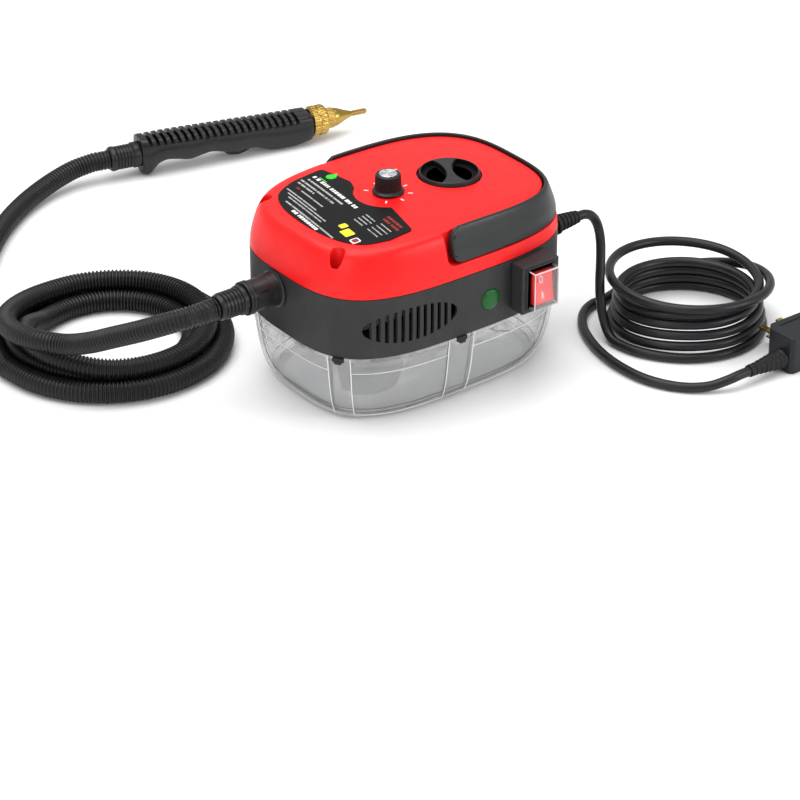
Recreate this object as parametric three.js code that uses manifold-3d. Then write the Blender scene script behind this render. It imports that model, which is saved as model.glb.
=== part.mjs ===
// Portable steam cleaner: clear water tank, dark mid housing, red top cover with a bail handle,
// corrugated steam hose with a brass-nosed gun, and a coiled mains cord. Millimetres, +Z up.
// The origin is the centre of the tank's underside. +X runs along the body, from the hose end (-X)
// to the mains end (+X). The vents, the lamp and the switch are on the front, which faces -Y.
import * as THREE from 'three';
import { mergeVertices } from 'three/addons/utils/BufferGeometryUtils.js';
import Module from 'manifold-3d';

const wasm = await Module();
wasm.setup();

// ---------------------------------------------------------------- driving dimensions
const GAP = 0.3;                      // clearance between touching pieces
const BODY_LENGTH = 250;
const BODY_WIDTH = 186.6;
const CORNER_POWER = 3.3;             // exponent of the body's rounded-rectangle footprint
const BODY_SEGMENTS = 48;
const TANK_TOP = 65;                  // seam between tank and housing
const COVER_SEAM = 119.5;             // seam between housing and cover
const COVER_TOP = 161.8;              // crown of the cover, at its centre
const CROWN_DROP_LONG = 5;            // how far the crown falls to the ends
const CROWN_DROP_WIDE = 1.5;          // and to the sides
const WALL = 2.5;
const FRONT = -BODY_WIDTH / 2;        // the body's front face, midway along it
const BEYOND = 130;                   // past the body's sides, for cutting blocks

const RECESS_INSET = 12.3;            // the handle's channel in the cover
const RECESS_FLOOR = 131.4;
const RECESS_END = -27;
const HANDLE_PIVOT = { x: -12.5, z: 150.5 };
const HANDLE_PIN = { radius: 3, inner: 76.5, outer: 87 };
const HANDLE_SWEEP = 13.6;            // radius of the arm ends' upper corners about the pivot
const HANDLE_HEEL = 18.6;             // and of their lower corners

const KNOB = { x: -17, y: 0, skirtRadius: 13.3, bodyRadius: 10.5, height: 16.5 };
const CAP = { x: 45, y: -2.5, radius: 26, topRadius: 25, plugRadius: 19.8, top: 164.6, seat: 158.8 };
const NECK = { inner: 20.8, outer: 23.5, flange: 27.3 };
const CAP_BAR_ANGLE = 63;             // degrees from +X, how the grip bar lies when closed
const LAMP = { x: 17.5, z: 90, radius: 9.3 };
const VENT = { x: -59, z: 91.5, halfLength: 42, halfHeight: 15.2, slots: 12, pitch: 6.75, width: 3.4 };
const SWITCH = { left: 39.5, right: 78, bottom: 73.6, top: 117.2, front: -107.7, collar: 3 };
const BOOT = { left: 45.6, right: 71, bottom: 79, top: 113, depth: 8.5, wall: 0.8 };
const SOCKET = { y: 10.6, z: 102.6, flangeRadius: 16.2, radius: 13.7, tailRadius: 11.5, end: -157 };
const CONNECTOR_END = -183;
const GLAND = { y: -46, z: 107, end: 150, stemRadius: 7 };
const COVER_SCREWS = [
  { name: 'cover_screw_1', x: -107.3, y: -52.3, seat: 134.8, well: 6.2 },
  { name: 'cover_screw_2', x: -97.5, y: 61.5, seat: 134.8, well: 5.8 },
  { name: 'cover_screw_3', x: 105, y: -60, seat: 128.2, well: 3.9 },
  { name: 'cover_screw_4', x: 105, y: 60, seat: 128.2, well: 3.9 },
];
const SCREW_HOLE = 2.1;
const WORKS_FLOOR = 70.1;             // top of the plate that the works stand on

const HOSE_RADIUS = 9.25;
const HOSE_COIL = { x: -188, y: 166, inner: 60, outer: 105, height: 37.6 };
const CORD_RADIUS = 4.2;
const CORD_COIL = { x: 230, y: -102, inner: 50, outer: 70, height: 46 };
const PLUG = { left: 240, right: 286, front: -223, back: -189, top: 34, cordY: -211, cordZ: 12 };

const GUN = { x: 20, y: 440, heading: -12, axisZ: 19.5, length: 174, boreRadius: 4.3 };
const STEAM_TUBE_RADIUS = 4;

// Routes, chosen by hand: hose from the body's connector to its coil, and from the coil to the gun.
const HOSE_LEAD = [
  [-183.3, 10.6, 102.6], [-188, 10.6, 102.6], [-193, 10.6, 102.6], [-205, 14, 100.5], [-219, 26, 94],
  [-233, 46, 83], [-244, 69, 71], [-254, 93, 58.5], [-263, 116, 49.5],
];
const HOSE_TAIL = [
  [-263, 254, 9.6], [-247, 290, 9.6], [-222, 330, 9.6], [-191, 368, 9.6], [-156, 403, 9.6],
  [-120, 430, 10], [-84, 446.5, 13], [-51, 452.5, 18], [-28.3, 450.3, 21], [-20.4, 448.6, 21],
  [-12.6, 446.9, 21],
];
// Mains cord from its gland to its coil, and from the coil round the outside to the plug.
const CORD_LEAD = [
  [150.3, -46, 107], [154, -46, 107], [158, -46, 106.7], [165.5, -45.5, 103.4], [171.3, -45.5, 96.5],
  [174.6, -46.5, 87], [174.8, -49, 76], [172.4, -52.5, 66], [169, -56.5, 56], [165.4, -60.5, 46],
  [162, -65.5, 35], [159.2, -71.5, 24], [157, -79.5, 13.5], [155.6, -88, 6.6], [155.3, -97, 4.6],
];
const CORD_TAIL = [
  [199, -29.5, 4.6], [184, -30, 4.6], [168, -38, 4.6], [153, -54, 4.6], [142, -75, 4.6], [134, -100, 4.6],
  [130.5, -126, 4.6], [132, -152, 4.6], [139, -173, 4.6], [151, -190, 4.6], [166, -202, 6],
  [181, -209, 10], [192, -211, 12], [197, -211, 12], [201.7, -211, 12],
];

// ---------------------------------------------------------------- finishes
const finish = {
  red: { color: 0xe8302e, roughness: 0.38, metalness: 0 },
  charcoal: { color: 0x3c3c3e, roughness: 0.5, metalness: 0 },
  black: { color: 0x1d1d20, roughness: 0.45, metalness: 0 },
  rubber: { color: 0x17171a, roughness: 0.75, metalness: 0 },
  clear: { color: 0xdfe6ea, roughness: 0.08, metalness: 0, transparent: true, opacity: 0.35 },
  silicone: { color: 0xf0d8d4, roughness: 0.15, metalness: 0, transparent: true, opacity: 0.4 },
  rocker: { color: 0xe0201e, roughness: 0.25, metalness: 0 },
  green: { color: 0x0c6a20, roughness: 0.25, metalness: 0 },
  aluminium: { color: 0xc9cbce, roughness: 0.3, metalness: 1 },
  steel: { color: 0xa9abad, roughness: 0.35, metalness: 1 },
  brass: { color: 0xc9a13a, roughness: 0.28, metalness: 1 },
  copper: { color: 0xb87248, roughness: 0.35, metalness: 1 },
  white: { color: 0xe8e8e4, roughness: 0.5, metalness: 0 },
  board: { color: 0x1f5a34, roughness: 0.5, metalness: 0 },
  plug: { color: 0x2c2e36, roughness: 0.5, metalness: 0 },
};

// ---------------------------------------------------------------- solids
/** True if an indexed closed surface has its faces turned inwards: its signed volume is negative. */
function isInsideOut(positions, index) {
  const a = new THREE.Vector3();
  const b = new THREE.Vector3();
  const c = new THREE.Vector3();
  let volume = 0;
  for (let i = 0; i < index.length; i += 3) {
    a.fromArray(positions, index[i] * 3);
    b.fromArray(positions, index[i + 1] * 3);
    c.fromArray(positions, index[i + 2] * 3);
    volume += a.dot(b.cross(c));
  }
  return volume < 0;
}

/** A manifold solid from any closed three.js geometry. */
function solid(geometry) {
  const bare = new THREE.BufferGeometry();
  bare.setAttribute('position', geometry.getAttribute('position').clone());
  if (geometry.index) bare.setIndex(geometry.index.clone());
  const merged = mergeVertices(bare, 1e-4);
  const positions = merged.getAttribute('position').array;
  const source = merged.index.array;
  const index = [];
  for (let i = 0; i < source.length; i += 3) {
    const [a, b, c] = [source[i], source[i + 1], source[i + 2]];
    if (a !== b && b !== c && c !== a) index.push(a, b, c);
  }
  if (isInsideOut(positions, index)) index.reverse();
  return new wasm.Manifold(new wasm.Mesh({
    numProp: 3,
    vertProperties: new Float32Array(positions),
    triVerts: new Uint32Array(index),
  }));
}

/** The three.js geometry of a manifold solid. */
function geometryOf(shape) {
  const mesh = shape.getMesh();
  const geometry = new THREE.BufferGeometry();
  geometry.setAttribute('position', new THREE.BufferAttribute(new Float32Array(mesh.vertProperties), 3));
  geometry.setIndex(new THREE.BufferAttribute(new Uint32Array(mesh.triVerts), 1));
  geometry.computeVertexNormals();
  return geometry;
}

/** A block between two corners. */
function block([x0, y0, z0], [x1, y1, z1]) {
  const geometry = new THREE.BoxGeometry(x1 - x0, y1 - y0, z1 - z0);
  geometry.translate((x0 + x1) / 2, (y0 + y1) / 2, (z0 + z1) / 2);
  return solid(geometry);
}

const turnTo = {
  x: (geometry) => geometry.rotateZ(-Math.PI / 2),
  y: (geometry) => geometry,
  z: (geometry) => geometry.rotateX(Math.PI / 2),
};

/** A turned solid about an axis through centre: profile points are [radius, distance along the axis]. */
function turned(profile, { axis = 'z', centre = [0, 0, 0], sides = 24 } = {}) {
  const points = profile.map(([radius, along]) => new THREE.Vector2(radius, along));
  const geometry = turnTo[axis](new THREE.LatheGeometry(points, sides));
  geometry.translate(...centre);
  return solid(geometry);
}

/** A plain round bar along an axis, from one distance to another. */
function bar(radius, from, to, options) {
  return turned([[0, from], [radius, from], [radius, to], [0, to]], options);
}

/** A round sleeve along an axis. */
function sleeve(inner, outer, from, to, options) {
  return turned([[inner, from], [outer, from], [outer, to], [inner, to], [inner, from]], options);
}

/** A flat outline [[x, y], ...] extruded from one height to another. */
function prism(outline, from, to) {
  const shape = new THREE.Shape(outline.map(([x, y]) => new THREE.Vector2(x, y)));
  const geometry = new THREE.ExtrudeGeometry(shape, { depth: to - from, bevelEnabled: false });
  geometry.translate(0, 0, from);
  return solid(geometry);
}

/** A block with round vertical corners, its outline in X and Y. */
function roundedBlock([x0, y0, z0], [x1, y1, z1], radius) {
  const shape = new THREE.Shape();
  shape.absarc(x1 - radius, y1 - radius, radius, 0, Math.PI / 2);
  shape.absarc(x0 + radius, y1 - radius, radius, Math.PI / 2, Math.PI);
  shape.absarc(x0 + radius, y0 + radius, radius, Math.PI, Math.PI * 1.5);
  shape.absarc(x1 - radius, y0 + radius, radius, Math.PI * 1.5, Math.PI * 2);
  const settings = { depth: z1 - z0, bevelEnabled: false, curveSegments: 4 };
  const geometry = new THREE.ExtrudeGeometry(shape, settings);
  geometry.translate(0, 0, z0);
  return solid(geometry);
}

/** A tube of round section along a smooth route of [x, y, z] points. */
function tube(route, radius, steps, sides = 8) {
  const curve = new THREE.CatmullRomCurve3(route.map((point) => new THREE.Vector3(...point)));
  const section = new THREE.Shape();
  for (let i = 0; i < sides; i += 1) {
    const angle = (i / sides) * Math.PI * 2;
    const [x, y] = [radius * Math.cos(angle), radius * Math.sin(angle)];
    if (i === 0) section.moveTo(x, y);
    else section.lineTo(x, y);
  }
  section.closePath();
  return solid(new THREE.ExtrudeGeometry(section, { steps, extrudePath: curve, bevelEnabled: false }));
}

// ---------------------------------------------------------------- the body's footprint
/** Stretches a circle's direction to the rounded-rectangle footprint, set in by inset. */
function footprint(angle, inset) {
  const [c, s] = [Math.cos(angle), Math.sin(angle)];
  const reach = (Math.abs(c) ** CORNER_POWER + Math.abs(s) ** CORNER_POWER) ** (-1 / CORNER_POWER);
  const core = 45;
  const halfLength = BODY_LENGTH / 2;
  const halfWidth = BODY_WIDTH / 2;
  if (inset <= core) return [(halfLength - inset) * c * reach, (halfWidth - inset) * s * reach];
  const share = (halfWidth - inset) / (halfWidth - core);
  return [(halfLength - core) * c * reach * share, (halfWidth - core) * s * reach * share];
}

/** Distance in from the footprint at the body's axis. */
const AXIS = BODY_WIDTH / 2;

/**
 * A solid whose level sections follow the footprint. Profile points are [inset, height];
 * heightAt may bend a height by its place.
 */
function shellForm(profile, heightAt = (x, y, z) => z) {
  const points = profile.map(([inset, z]) => new THREE.Vector2(AXIS - inset, z));
  const geometry = new THREE.LatheGeometry(points, BODY_SEGMENTS);
  const position = geometry.getAttribute('position');
  for (let i = 0; i < position.count; i += 1) {
    const radius = Math.hypot(position.getX(i), position.getZ(i));
    const angle = Math.atan2(-position.getZ(i), position.getX(i));
    const [x, y] = radius < 1e-6 ? [0, 0] : footprint(angle, AXIS - radius);
    position.setXYZ(i, x, y, heightAt(x, y, position.getY(i)));
  }
  return solid(geometry);
}

/** An upright wall-to-wall slab of the footprint. */
function shellSlab(inset, from, to) {
  return shellForm([[AXIS, from], [inset, from], [inset, to], [AXIS, to]]);
}

/** Lowers heights above the cover's seam so that its top is crowned. */
function crowned(x, y, z) {
  const lengthwise = CROWN_DROP_LONG * (x / (BODY_LENGTH / 2)) ** 2;
  const drop = lengthwise + CROWN_DROP_WIDE * (y / (BODY_WIDTH / 2)) ** 2;
  return z - Math.max(0, (z - COVER_SEAM) / (COVER_TOP - COVER_SEAM)) * drop;
}

/** The cover's outer form, set in by offset all over. */
function coverForm(offset) {
  const base = COVER_SEAM - (offset > 0 ? 5 : 0);
  const rise = [
    [0.3, 125], [1.3, 133], [2.9, 141], [5, 149], [7.2, 155], [9.8, 158.8], [13.5, 160.6], [22, 161.4],
  ];
  return shellForm([
    [AXIS, base], [offset, base],
    ...rise.filter((_, i) => offset <= 0 || i % 2 === 0).map(([inset, z]) => [inset + offset, z - offset]),
    [AXIS, COVER_TOP - offset],
  ], crowned);
}

/** Everything outside an inner wall and above a floor, right of an end: the handle's channel. */
function channel(inset, floor, end) {
  return block([end, -BEYOND, floor], [160, BEYOND, 200]).subtract(shellSlab(inset, 0, 210));
}

// ---------------------------------------------------------------- assembly
const steamCleaner = new THREE.Group();

/** Adds a named piece in its finish to a group. */
function add(name, shape, look, group = steamCleaner) {
  const mesh = new THREE.Mesh(geometryOf(shape), new THREE.MeshStandardMaterial(finish[look]));
  mesh.name = name;
  group.add(mesh);
}

/** Water tank: clear, tapering to a rounded foot, with an inward lip at its rim. */
function waterTank() {
  return shellForm([
    [AXIS, 0], [20, 0], [14, 5.5], [9.2, 16], [5.2, 34], [1.2, TANK_TOP - 0.4],
    [7.2, TANK_TOP - 0.4], [7.2, TANK_TOP - 3], [4.2, TANK_TOP - 5], [8, 34], [12, 18.5],
    [16.8, 9], [24, 3], [AXIS, 3],
  ]);
}

const onSocket = { axis: 'x', centre: [0, SOCKET.y, SOCKET.z], sides: 18 };
const onGland = { axis: 'x', centre: [0, GLAND.y, GLAND.z], sides: 20 };
const onHinge = { axis: 'y', centre: [HANDLE_PIVOT.x, 0, HANDLE_PIVOT.z], sides: 16 };
const onCap = { centre: [CAP.x, CAP.y, 0], sides: 24 };
const onKnob = { centre: [KNOB.x, KNOB.y, 0], sides: 24 };

/** Seal between the tank's rim and the housing's floor plate. */
function tankSeal() {
  const [near, far, top] = [4.2, 7, TANK_TOP + 2];
  return shellForm([[near, TANK_TOP], [far, TANK_TOP], [far, top], [near, top], [near, TANK_TOP]]);
}

/** Mid housing: a wall with vents, and openings for lamp, switch, hose socket and cord gland. */
function midHousing() {
  let housing = shellForm([
    [1.2, TANK_TOP], [0, 84], [0, COVER_SEAM - GAP], [WALL, COVER_SEAM - GAP],
    [WALL, 84], [WALL + 1.2, TANK_TOP], [1.2, TANK_TOP],
  ]);
  for (const screw of COVER_SCREWS) {
    const onScrew = { centre: [screw.x, screw.y, 0], sides: 12 };
    const endWall = Math.sign(screw.x) * 124;
    const post = bar(4.6, WORKS_FLOOR, COVER_SEAM - GAP, onScrew);
    const rib = block(
      [Math.min(screw.x, endWall), screw.y - 1, WORKS_FLOOR],
      [Math.max(screw.x, endWall), screw.y + 1, 112],
    );
    const inside = post.add(rib).intersect(shellSlab(1, 60, COVER_SEAM - GAP));
    housing = housing.add(inside).subtract(bar(SCREW_HOLE, 108, 125, onScrew));
  }
  for (let i = 0; i < VENT.slots; i += 1) {
    const x = VENT.x + (i - (VENT.slots - 1) / 2) * VENT.pitch;
    const half = VENT.halfHeight * Math.sqrt(1 - ((x - VENT.x) / VENT.halfLength) ** 2);
    const [left, right] = [x - VENT.width / 2, x + VENT.width / 2];
    housing = housing.subtract(block([left, FRONT - 5, VENT.z - half], [right, -55, VENT.z + half]));
  }
  const onLamp = { axis: 'y', centre: [LAMP.x, 0, LAMP.z], sides: 24 };
  const lampHole = bar(LAMP.radius + GAP, FRONT - 5, FRONT + 20, onLamp);
  const edge = SWITCH.collar - GAP;
  const switchHole = block(
    [SWITCH.left + edge, -BEYOND, SWITCH.bottom + edge],
    [SWITCH.right - edge, -60, SWITCH.top - edge],
  );
  const socketHole = bar(SOCKET.tailRadius + GAP, -140, -110, onSocket);
  const glandHole = bar(GLAND.stemRadius + GAP, 100, 140, onGland);
  return housing.subtract(lampHole).subtract(switchHole).subtract(socketHole).subtract(glandHole);
}

/** Floor plate: carries the works and closes the tank. */
function floorPlate() {
  const neckHole = bar(NECK.outer + GAP, 60, 80, onCap);
  const suctionHole = bar(3.4, 60, 80, { centre: [20, 52, 0], sides: 12 });
  return shellSlab(WALL + 1.6, 67.3, 69.8).subtract(neckHole).subtract(suctionHole);
}

/** Red top cover: crowned shell with the handle's channel, screw wells, and holes for knob and cap. */
function topCover() {
  const outer = coverForm(0);
  const channelWall = channel(RECESS_INSET + WALL, RECESS_FLOOR - WALL, RECESS_END - WALL);
  let cover = outer.subtract(coverForm(WALL).subtract(channelWall));
  for (const screw of COVER_SCREWS) {
    const onScrew = { centre: [screw.x, screw.y, 0], sides: 20 };
    const post = bar(screw.well + 2, COVER_SEAM, 170, onScrew);
    cover = cover.add(post.intersect(outer));
  }
  cover = cover.subtract(channel(RECESS_INSET, RECESS_FLOOR, RECESS_END));
  for (const screw of COVER_SCREWS) {
    const onScrew = { centre: [screw.x, screw.y, 0], sides: 20 };
    const well = bar(screw.well, screw.seat, 175, onScrew);
    cover = cover.subtract(well).subtract(bar(SCREW_HOLE, 110, 150, onScrew));
  }
  const pinHole = bar(HANDLE_PIN.radius + GAP, 70, 100, onHinge);
  cover = cover.subtract(pinHole).subtract(pinHole.mirror([0, 1, 0]));
  const capHole = bar(NECK.flange + GAP, 140, 175, onCap);
  return cover.subtract(capHole).subtract(bar(3.6, 140, 175, onKnob));
}

/** Points of an arc, angles in degrees. */
function arc(x, y, radius, from, to, count) {
  return Array.from({ length: count }, (_, i) => {
    const angle = THREE.MathUtils.degToRad(from + ((to - from) * i) / (count - 1));
    return [x + radius * Math.cos(angle), y + radius * Math.sin(angle)];
  });
}

/** Black label plate that hugs the crown left of the knob and is cut away round the dial. */
function labelPlate() {
  const outline = [
    [-42, -66], [-66, -67.5], [-86, -60], [-97.5, -43], [-102.5, -18], [-102.5, 12], [-98, 38],
    [-87, 57], [-66, 67], [-34, 70], [-30, 34],
    ...arc(KNOB.x, KNOB.y, 29, 128, 238, 9),
  ];
  const raised = coverForm(-0.8).intersect(prism(outline, 140, 180));
  return raised.subtract(coverForm(-GAP));
}

/** Bail handle: a U round the right of the top, with a hinge hole in each arm. */
function carryHandle() {
  const rise = 2.5;
  const handleTop = COVER_TOP + rise;
  const outer = shellForm([
    [AXIS, 120], [1.9, 120], [1.5, 137], [3.2, 146], [5.6, 155],
    [8.4, handleTop - 1.4], [11.4, handleTop - 0.8], [AXIS, handleTop],
  ], crowned);
  const inner = shellSlab(RECESS_INSET - 1.4, 100, 200);
  const left = RECESS_END + 4;
  const kept = block([left, -BEYOND, RECESS_FLOOR + 0.6], [200, BEYOND, 200]);
  const handle = outer.subtract(inner).intersect(kept);
  // The arm ends are rounded so that they turn clear of the channel's end and floor.
  const round = (radius) => bar(radius, -BEYOND, BEYOND, { ...onHinge, sides: 32 });
  const { x, z } = HANDLE_PIVOT;
  const above = block([left - 1, -BEYOND, z], [x, BEYOND, 200]).subtract(round(HANDLE_SWEEP));
  const below = block([left - 1, -BEYOND, 100], [x, BEYOND, z]).subtract(round(HANDLE_HEEL));
  const pinHole = bar(HANDLE_PIN.radius + GAP, -HANDLE_PIN.outer - GAP, HANDLE_PIN.outer + GAP, onHinge);
  return handle.subtract(above).subtract(below).subtract(pinHole);
}

/** Hinge pin through the channel's wall into a handle arm, on the side given. */
function handlePin(side) {
  const pin = bar(HANDLE_PIN.radius, HANDLE_PIN.inner, HANDLE_PIN.outer, onHinge);
  return side < 0 ? pin.mirror([0, 1, 0]) : pin;
}

/** Filler neck: flanged tube from the cover down into the tank. */
function fillerNeck() {
  const [bottom, top] = [62, CAP.seat];
  return turned([
    [NECK.inner, bottom], [NECK.outer, bottom], [NECK.outer, 149], [NECK.flange, 152], [NECK.flange, top],
    [24, top], [24, top - 2.4], [NECK.inner, top - 2.4], [NECK.inner, bottom],
  ], onCap);
}

/** Filler cap: tapered disc with a grip bar between two finger pockets that sink into its plug. */
function fillerCap() {
  const base = CAP.seat + GAP;
  const [pocketRadius, pocketShift, pocketFloor] = [22.6, 26.5, 149];
  let cap = turned([
    [0, 146], [CAP.plugRadius, 146], [CAP.plugRadius, base], [CAP.radius, base],
    [CAP.topRadius + 0.4, CAP.top - 1], [CAP.topRadius - 0.6, CAP.top], [0, CAP.top],
  ], { sides: 24 });
  const round = (radius, x, from) => bar(radius, from, 170, { centre: [x, 0, 0], sides: 24 });
  for (const side of [-1, 1]) {
    const bite = round(pocketRadius, side * pocketShift, pocketFloor);
    const shallow = round(pocketRadius, 0, base + 1).intersect(bite);
    const deep = round(17.4, 0, pocketFloor).intersect(bite);
    cap = cap.subtract(shallow).subtract(deep);
  }
  return cap.rotate([0, 0, CAP_BAR_ANGLE + 90]).translate([CAP.x, CAP.y, 0]);
}

function capSeal() {
  const top = CAP.seat;
  return sleeve(CAP.plugRadius + GAP, 23.6, top - 2, top, onCap);
}

/** Cover screw: pan head in its well and a shank into the housing's post. */
function coverScrew({ x, y, seat }) {
  const head = seat + GAP;
  return turned([
    [0, 109], [1.8, 109], [1.8, head], [3.5, head], [3.5, head + 1.6], [2.6, head + 2.4], [0, head + 2.4],
  ], { centre: [x, y, 0], sides: 12 });
}

const dialZ = crowned(KNOB.x, KNOB.y, COVER_TOP);

function knobBody() {
  const foot = dialZ + 0.6;
  const top = foot + KNOB.height;
  return turned([
    [3.3, foot], [KNOB.skirtRadius, foot], [KNOB.skirtRadius, foot + 1.6],
    [KNOB.bodyRadius + 0.7, foot + 2.6], [KNOB.bodyRadius, top - 1.2], [KNOB.bodyRadius - 1.1, top],
    [8, top], [8, top - 0.9], [3.3, top - 0.9],
    [3.3, foot],
  ], onKnob);
}

function knobInsert() {
  const base = dialZ + 0.6 + KNOB.height - 0.6;
  return bar(7.7, base, base + 1, onKnob);
}

function potShaft() {
  return bar(3, 147, dialZ + KNOB.height - 0.6, onKnob);
}

function potBody() {
  return sleeve(3.3, 9.5, 146.5, 156.8, onKnob);
}

/** Switch frame: the raised block on the front, open through its middle. */
function switchFrame() {
  const { left, right, bottom, top, front, collar } = SWITCH;
  const flange = block([left, front, bottom], [right, -70, top]).subtract(shellSlab(-GAP, 60, 130));
  const inner = block([left + collar, -100, bottom + collar], [right - collar, -80, top - collar]);
  const window = block(
    [BOOT.left + 1.5, -BEYOND, BOOT.bottom + 2],
    [BOOT.right - 1.5, -60, BOOT.top - 2],
  );
  return flange.add(inner).subtract(window);
}

/** Clear boot over the rocker: a five-sided cup with its mouth on the frame. */
function switchBoot() {
  const { left, right, bottom, top, depth, wall } = BOOT;
  const back = SWITCH.front - GAP;
  const cup = block([left, back - depth, bottom], [right, back, top]);
  const hollow = block(
    [left + wall, back - depth + wall, bottom + wall],
    [right - wall, back + 1, top - wall],
  );
  return cup.subtract(hollow);
}

/** Rocker: its two faces meet on the pivot's level, and its lower half stands out, which is off. */
function powerRocker() {
  const middle = (BOOT.bottom + BOOT.top) / 2;
  const face = SWITCH.front - 4.4;
  const half = (BOOT.top - BOOT.bottom) / 2 - 3.2;
  const outline = [
    [middle - half, face - 1.8], [middle, face + 0.6], [middle + half, face + 1.2],
    [middle + half - 1, -101], [middle - half + 1, -101],
  ];
  const shape = new THREE.Shape(outline.map(([z, y]) => new THREE.Vector2(y, z)));
  const margin = 2.7;
  const depth = BOOT.right - BOOT.left - 2 * margin;
  const geometry = new THREE.ExtrudeGeometry(shape, { depth, bevelEnabled: false });
  // The outline's X and Y become the part's Y and Z, and its depth runs along X.
  const turn = new THREE.Matrix4().makeBasis(
    new THREE.Vector3(0, 1, 0),
    new THREE.Vector3(0, 0, 1),
    new THREE.Vector3(1, 0, 0),
  );
  geometry.applyMatrix4(turn);
  geometry.translate(BOOT.left + margin, 0, 0);
  return solid(geometry);
}

function switchBody() {
  return block([BOOT.left + 3, -92, BOOT.bottom + 4], [BOOT.right - 3, -62, BOOT.top - 4]);
}

function indicatorLens() {
  return turned([
    [0, FRONT - 2.4], [4.5, FRONT - 2], [7.6, FRONT - 1], [LAMP.radius, FRONT + 0.4],
    [LAMP.radius, FRONT + 3], [0, FRONT + 3],
  ], { axis: 'y', centre: [LAMP.x, 0, LAMP.z], sides: 24 });
}

function indicatorLamp() {
  const near = FRONT + 3 + GAP;
  return bar(5, near, near + 16, { axis: 'y', centre: [LAMP.x, 0, LAMP.z], sides: 16 });
}

/** Hose socket: flange on the end wall, barrel outside it and a tail inside. */
function hoseSocket() {
  const { flangeRadius, radius, tailRadius, end } = SOCKET;
  const wall = -BODY_LENGTH / 2 - GAP;
  return turned([
    [7.3, -112], [tailRadius, -112], [tailRadius, wall], [flangeRadius, wall], [flangeRadius, wall - 1.7],
    [radius, wall - 2.7], [radius, -152], [radius + 0.7, -152.5], [radius + 0.7, end],
    [11.6, end], [11.6, -140], [7.3, -140], [7.3, -112],
  ], onSocket);
}

/** Hose connector: plugs into the socket and grips the corrugated hose. */
function hoseConnector() {
  return turned([
    [4, -142], [11.2, -142], [11.2, -160], [10.6, -162], [10.6, -172], [11.4, -172.5], [11.4, -180],
    [10.4, CONNECTOR_END], [4, CONNECTOR_END], [4, -142],
  ], onSocket);
}

/** Ring that holds a coil's turns, standing on the floor. */
function coilRing({ x, y, inner, outer, height }) {
  return turned([
    [inner, GAP], [outer - 4, GAP], [outer, 4], [outer, height - 4], [outer - 4, height],
    [inner, height], [inner, GAP],
  ], { centre: [x, y, 0], sides: 28 });
}

/** Cord gland: a flange cut to the curved end wall, a stem through it, and a taper along the cord. */
function cordGland() {
  const stem = bar(GLAND.stemRadius, 112, 124, onGland);
  const flange = bar(9, 112, 126.5, onGland);
  const taper = turned([[0, 120], [7.6, 120], [7.4, 132], [5.4, GLAND.end], [0, GLAND.end]], onGland);
  return stem.add(flange.add(taper).subtract(shellSlab(-GAP, 60, 130)));
}

function plugRelief() {
  const { left, cordY, cordZ } = PLUG;
  return turned([
    [0, 202], [5.3, 202], [8, left - 10], [8.6, left - GAP], [0, left - GAP],
  ], { axis: 'x', centre: [0, cordY, cordZ], sides: 16 });
}

/** Plug body: moulded block with its upright edges bevelled. */
function plugBody() {
  const { left, right, front, back, top } = PLUG;
  const outline = [
    [left + 3, front], [right - 3, front], [right, front + 3], [right, back - 6], [right - 6, back],
    [left + 6, back], [left, back - 6], [left, front + 3],
  ];
  return prism(outline, 0, top);
}

/** Plug pin: a flat blade out of the plug's back face. */
function plugPin(x, z) {
  return block([x - 3.1, PLUG.back + GAP, z - 0.8], [x + 3.1, PLUG.back + 18, z + 0.8]);
}

// ---- works inside the housing

function boilerBlock() {
  return roundedBlock([-98, -52, 76], [-12, -14, 104], 8);
}

function boilerThermostat() {
  return turned([
    [0, 104.3], [8, 104.3], [8, 107], [6, 107.5], [6, 113], [0, 113],
  ], { centre: [-70, -33, 0], sides: 16 });
}

function thermalFuse() {
  return bar(2.5, -50, -26, { axis: 'x', centre: [0, -33, 107.1], sides: 10 });
}

function waterPump() {
  const core = block([-58, 28, 76], [-16, 62, 106]);
  const barrel = bar(11, -72, 4, { axis: 'x', centre: [0, 45, 91], sides: 20 });
  return core.add(barrel);
}

function pumpBracket() {
  const foot = block([-62, 22, WORKS_FLOOR], [-12, 68, WORKS_FLOOR + 2]);
  const rail = block([-40, 30, WORKS_FLOOR + 2], [-34, 60, 75.7]);
  return foot.add(rail);
}

const SUCTION_ROUTE = [
  [4.3, 45, 91], [6, 45, 91], [8, 45, 91], [15, 47, 88], [20, 51, 80], [20, 52, 70], [20, 52, 40],
  [20, 52, 14.3],
];
const FEED_ROUTE = [
  [-72.3, 45, 91], [-74, 45, 91], [-76, 45, 91], [-86, 40, 91], [-90, 28, 90], [-90, 12, 89],
  [-84, -4, 88], [-82, -10, 88], [-82, -12, 88], [-82, -13.7, 88],
];
const STEAM_ROUTE = [
  [-60, -13.7, 98], [-60, -12, 98], [-60, -10, 98], [-65, 0, 99.5], [-78, 8, 102], [-94, 10.6, 102.6],
  [-110, 10.6, 102.6], [-141, 10.6, 102.6],
];

function controlBoard() {
  return block([8, 66, 74], [78, 67.6, 112]);
}

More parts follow.
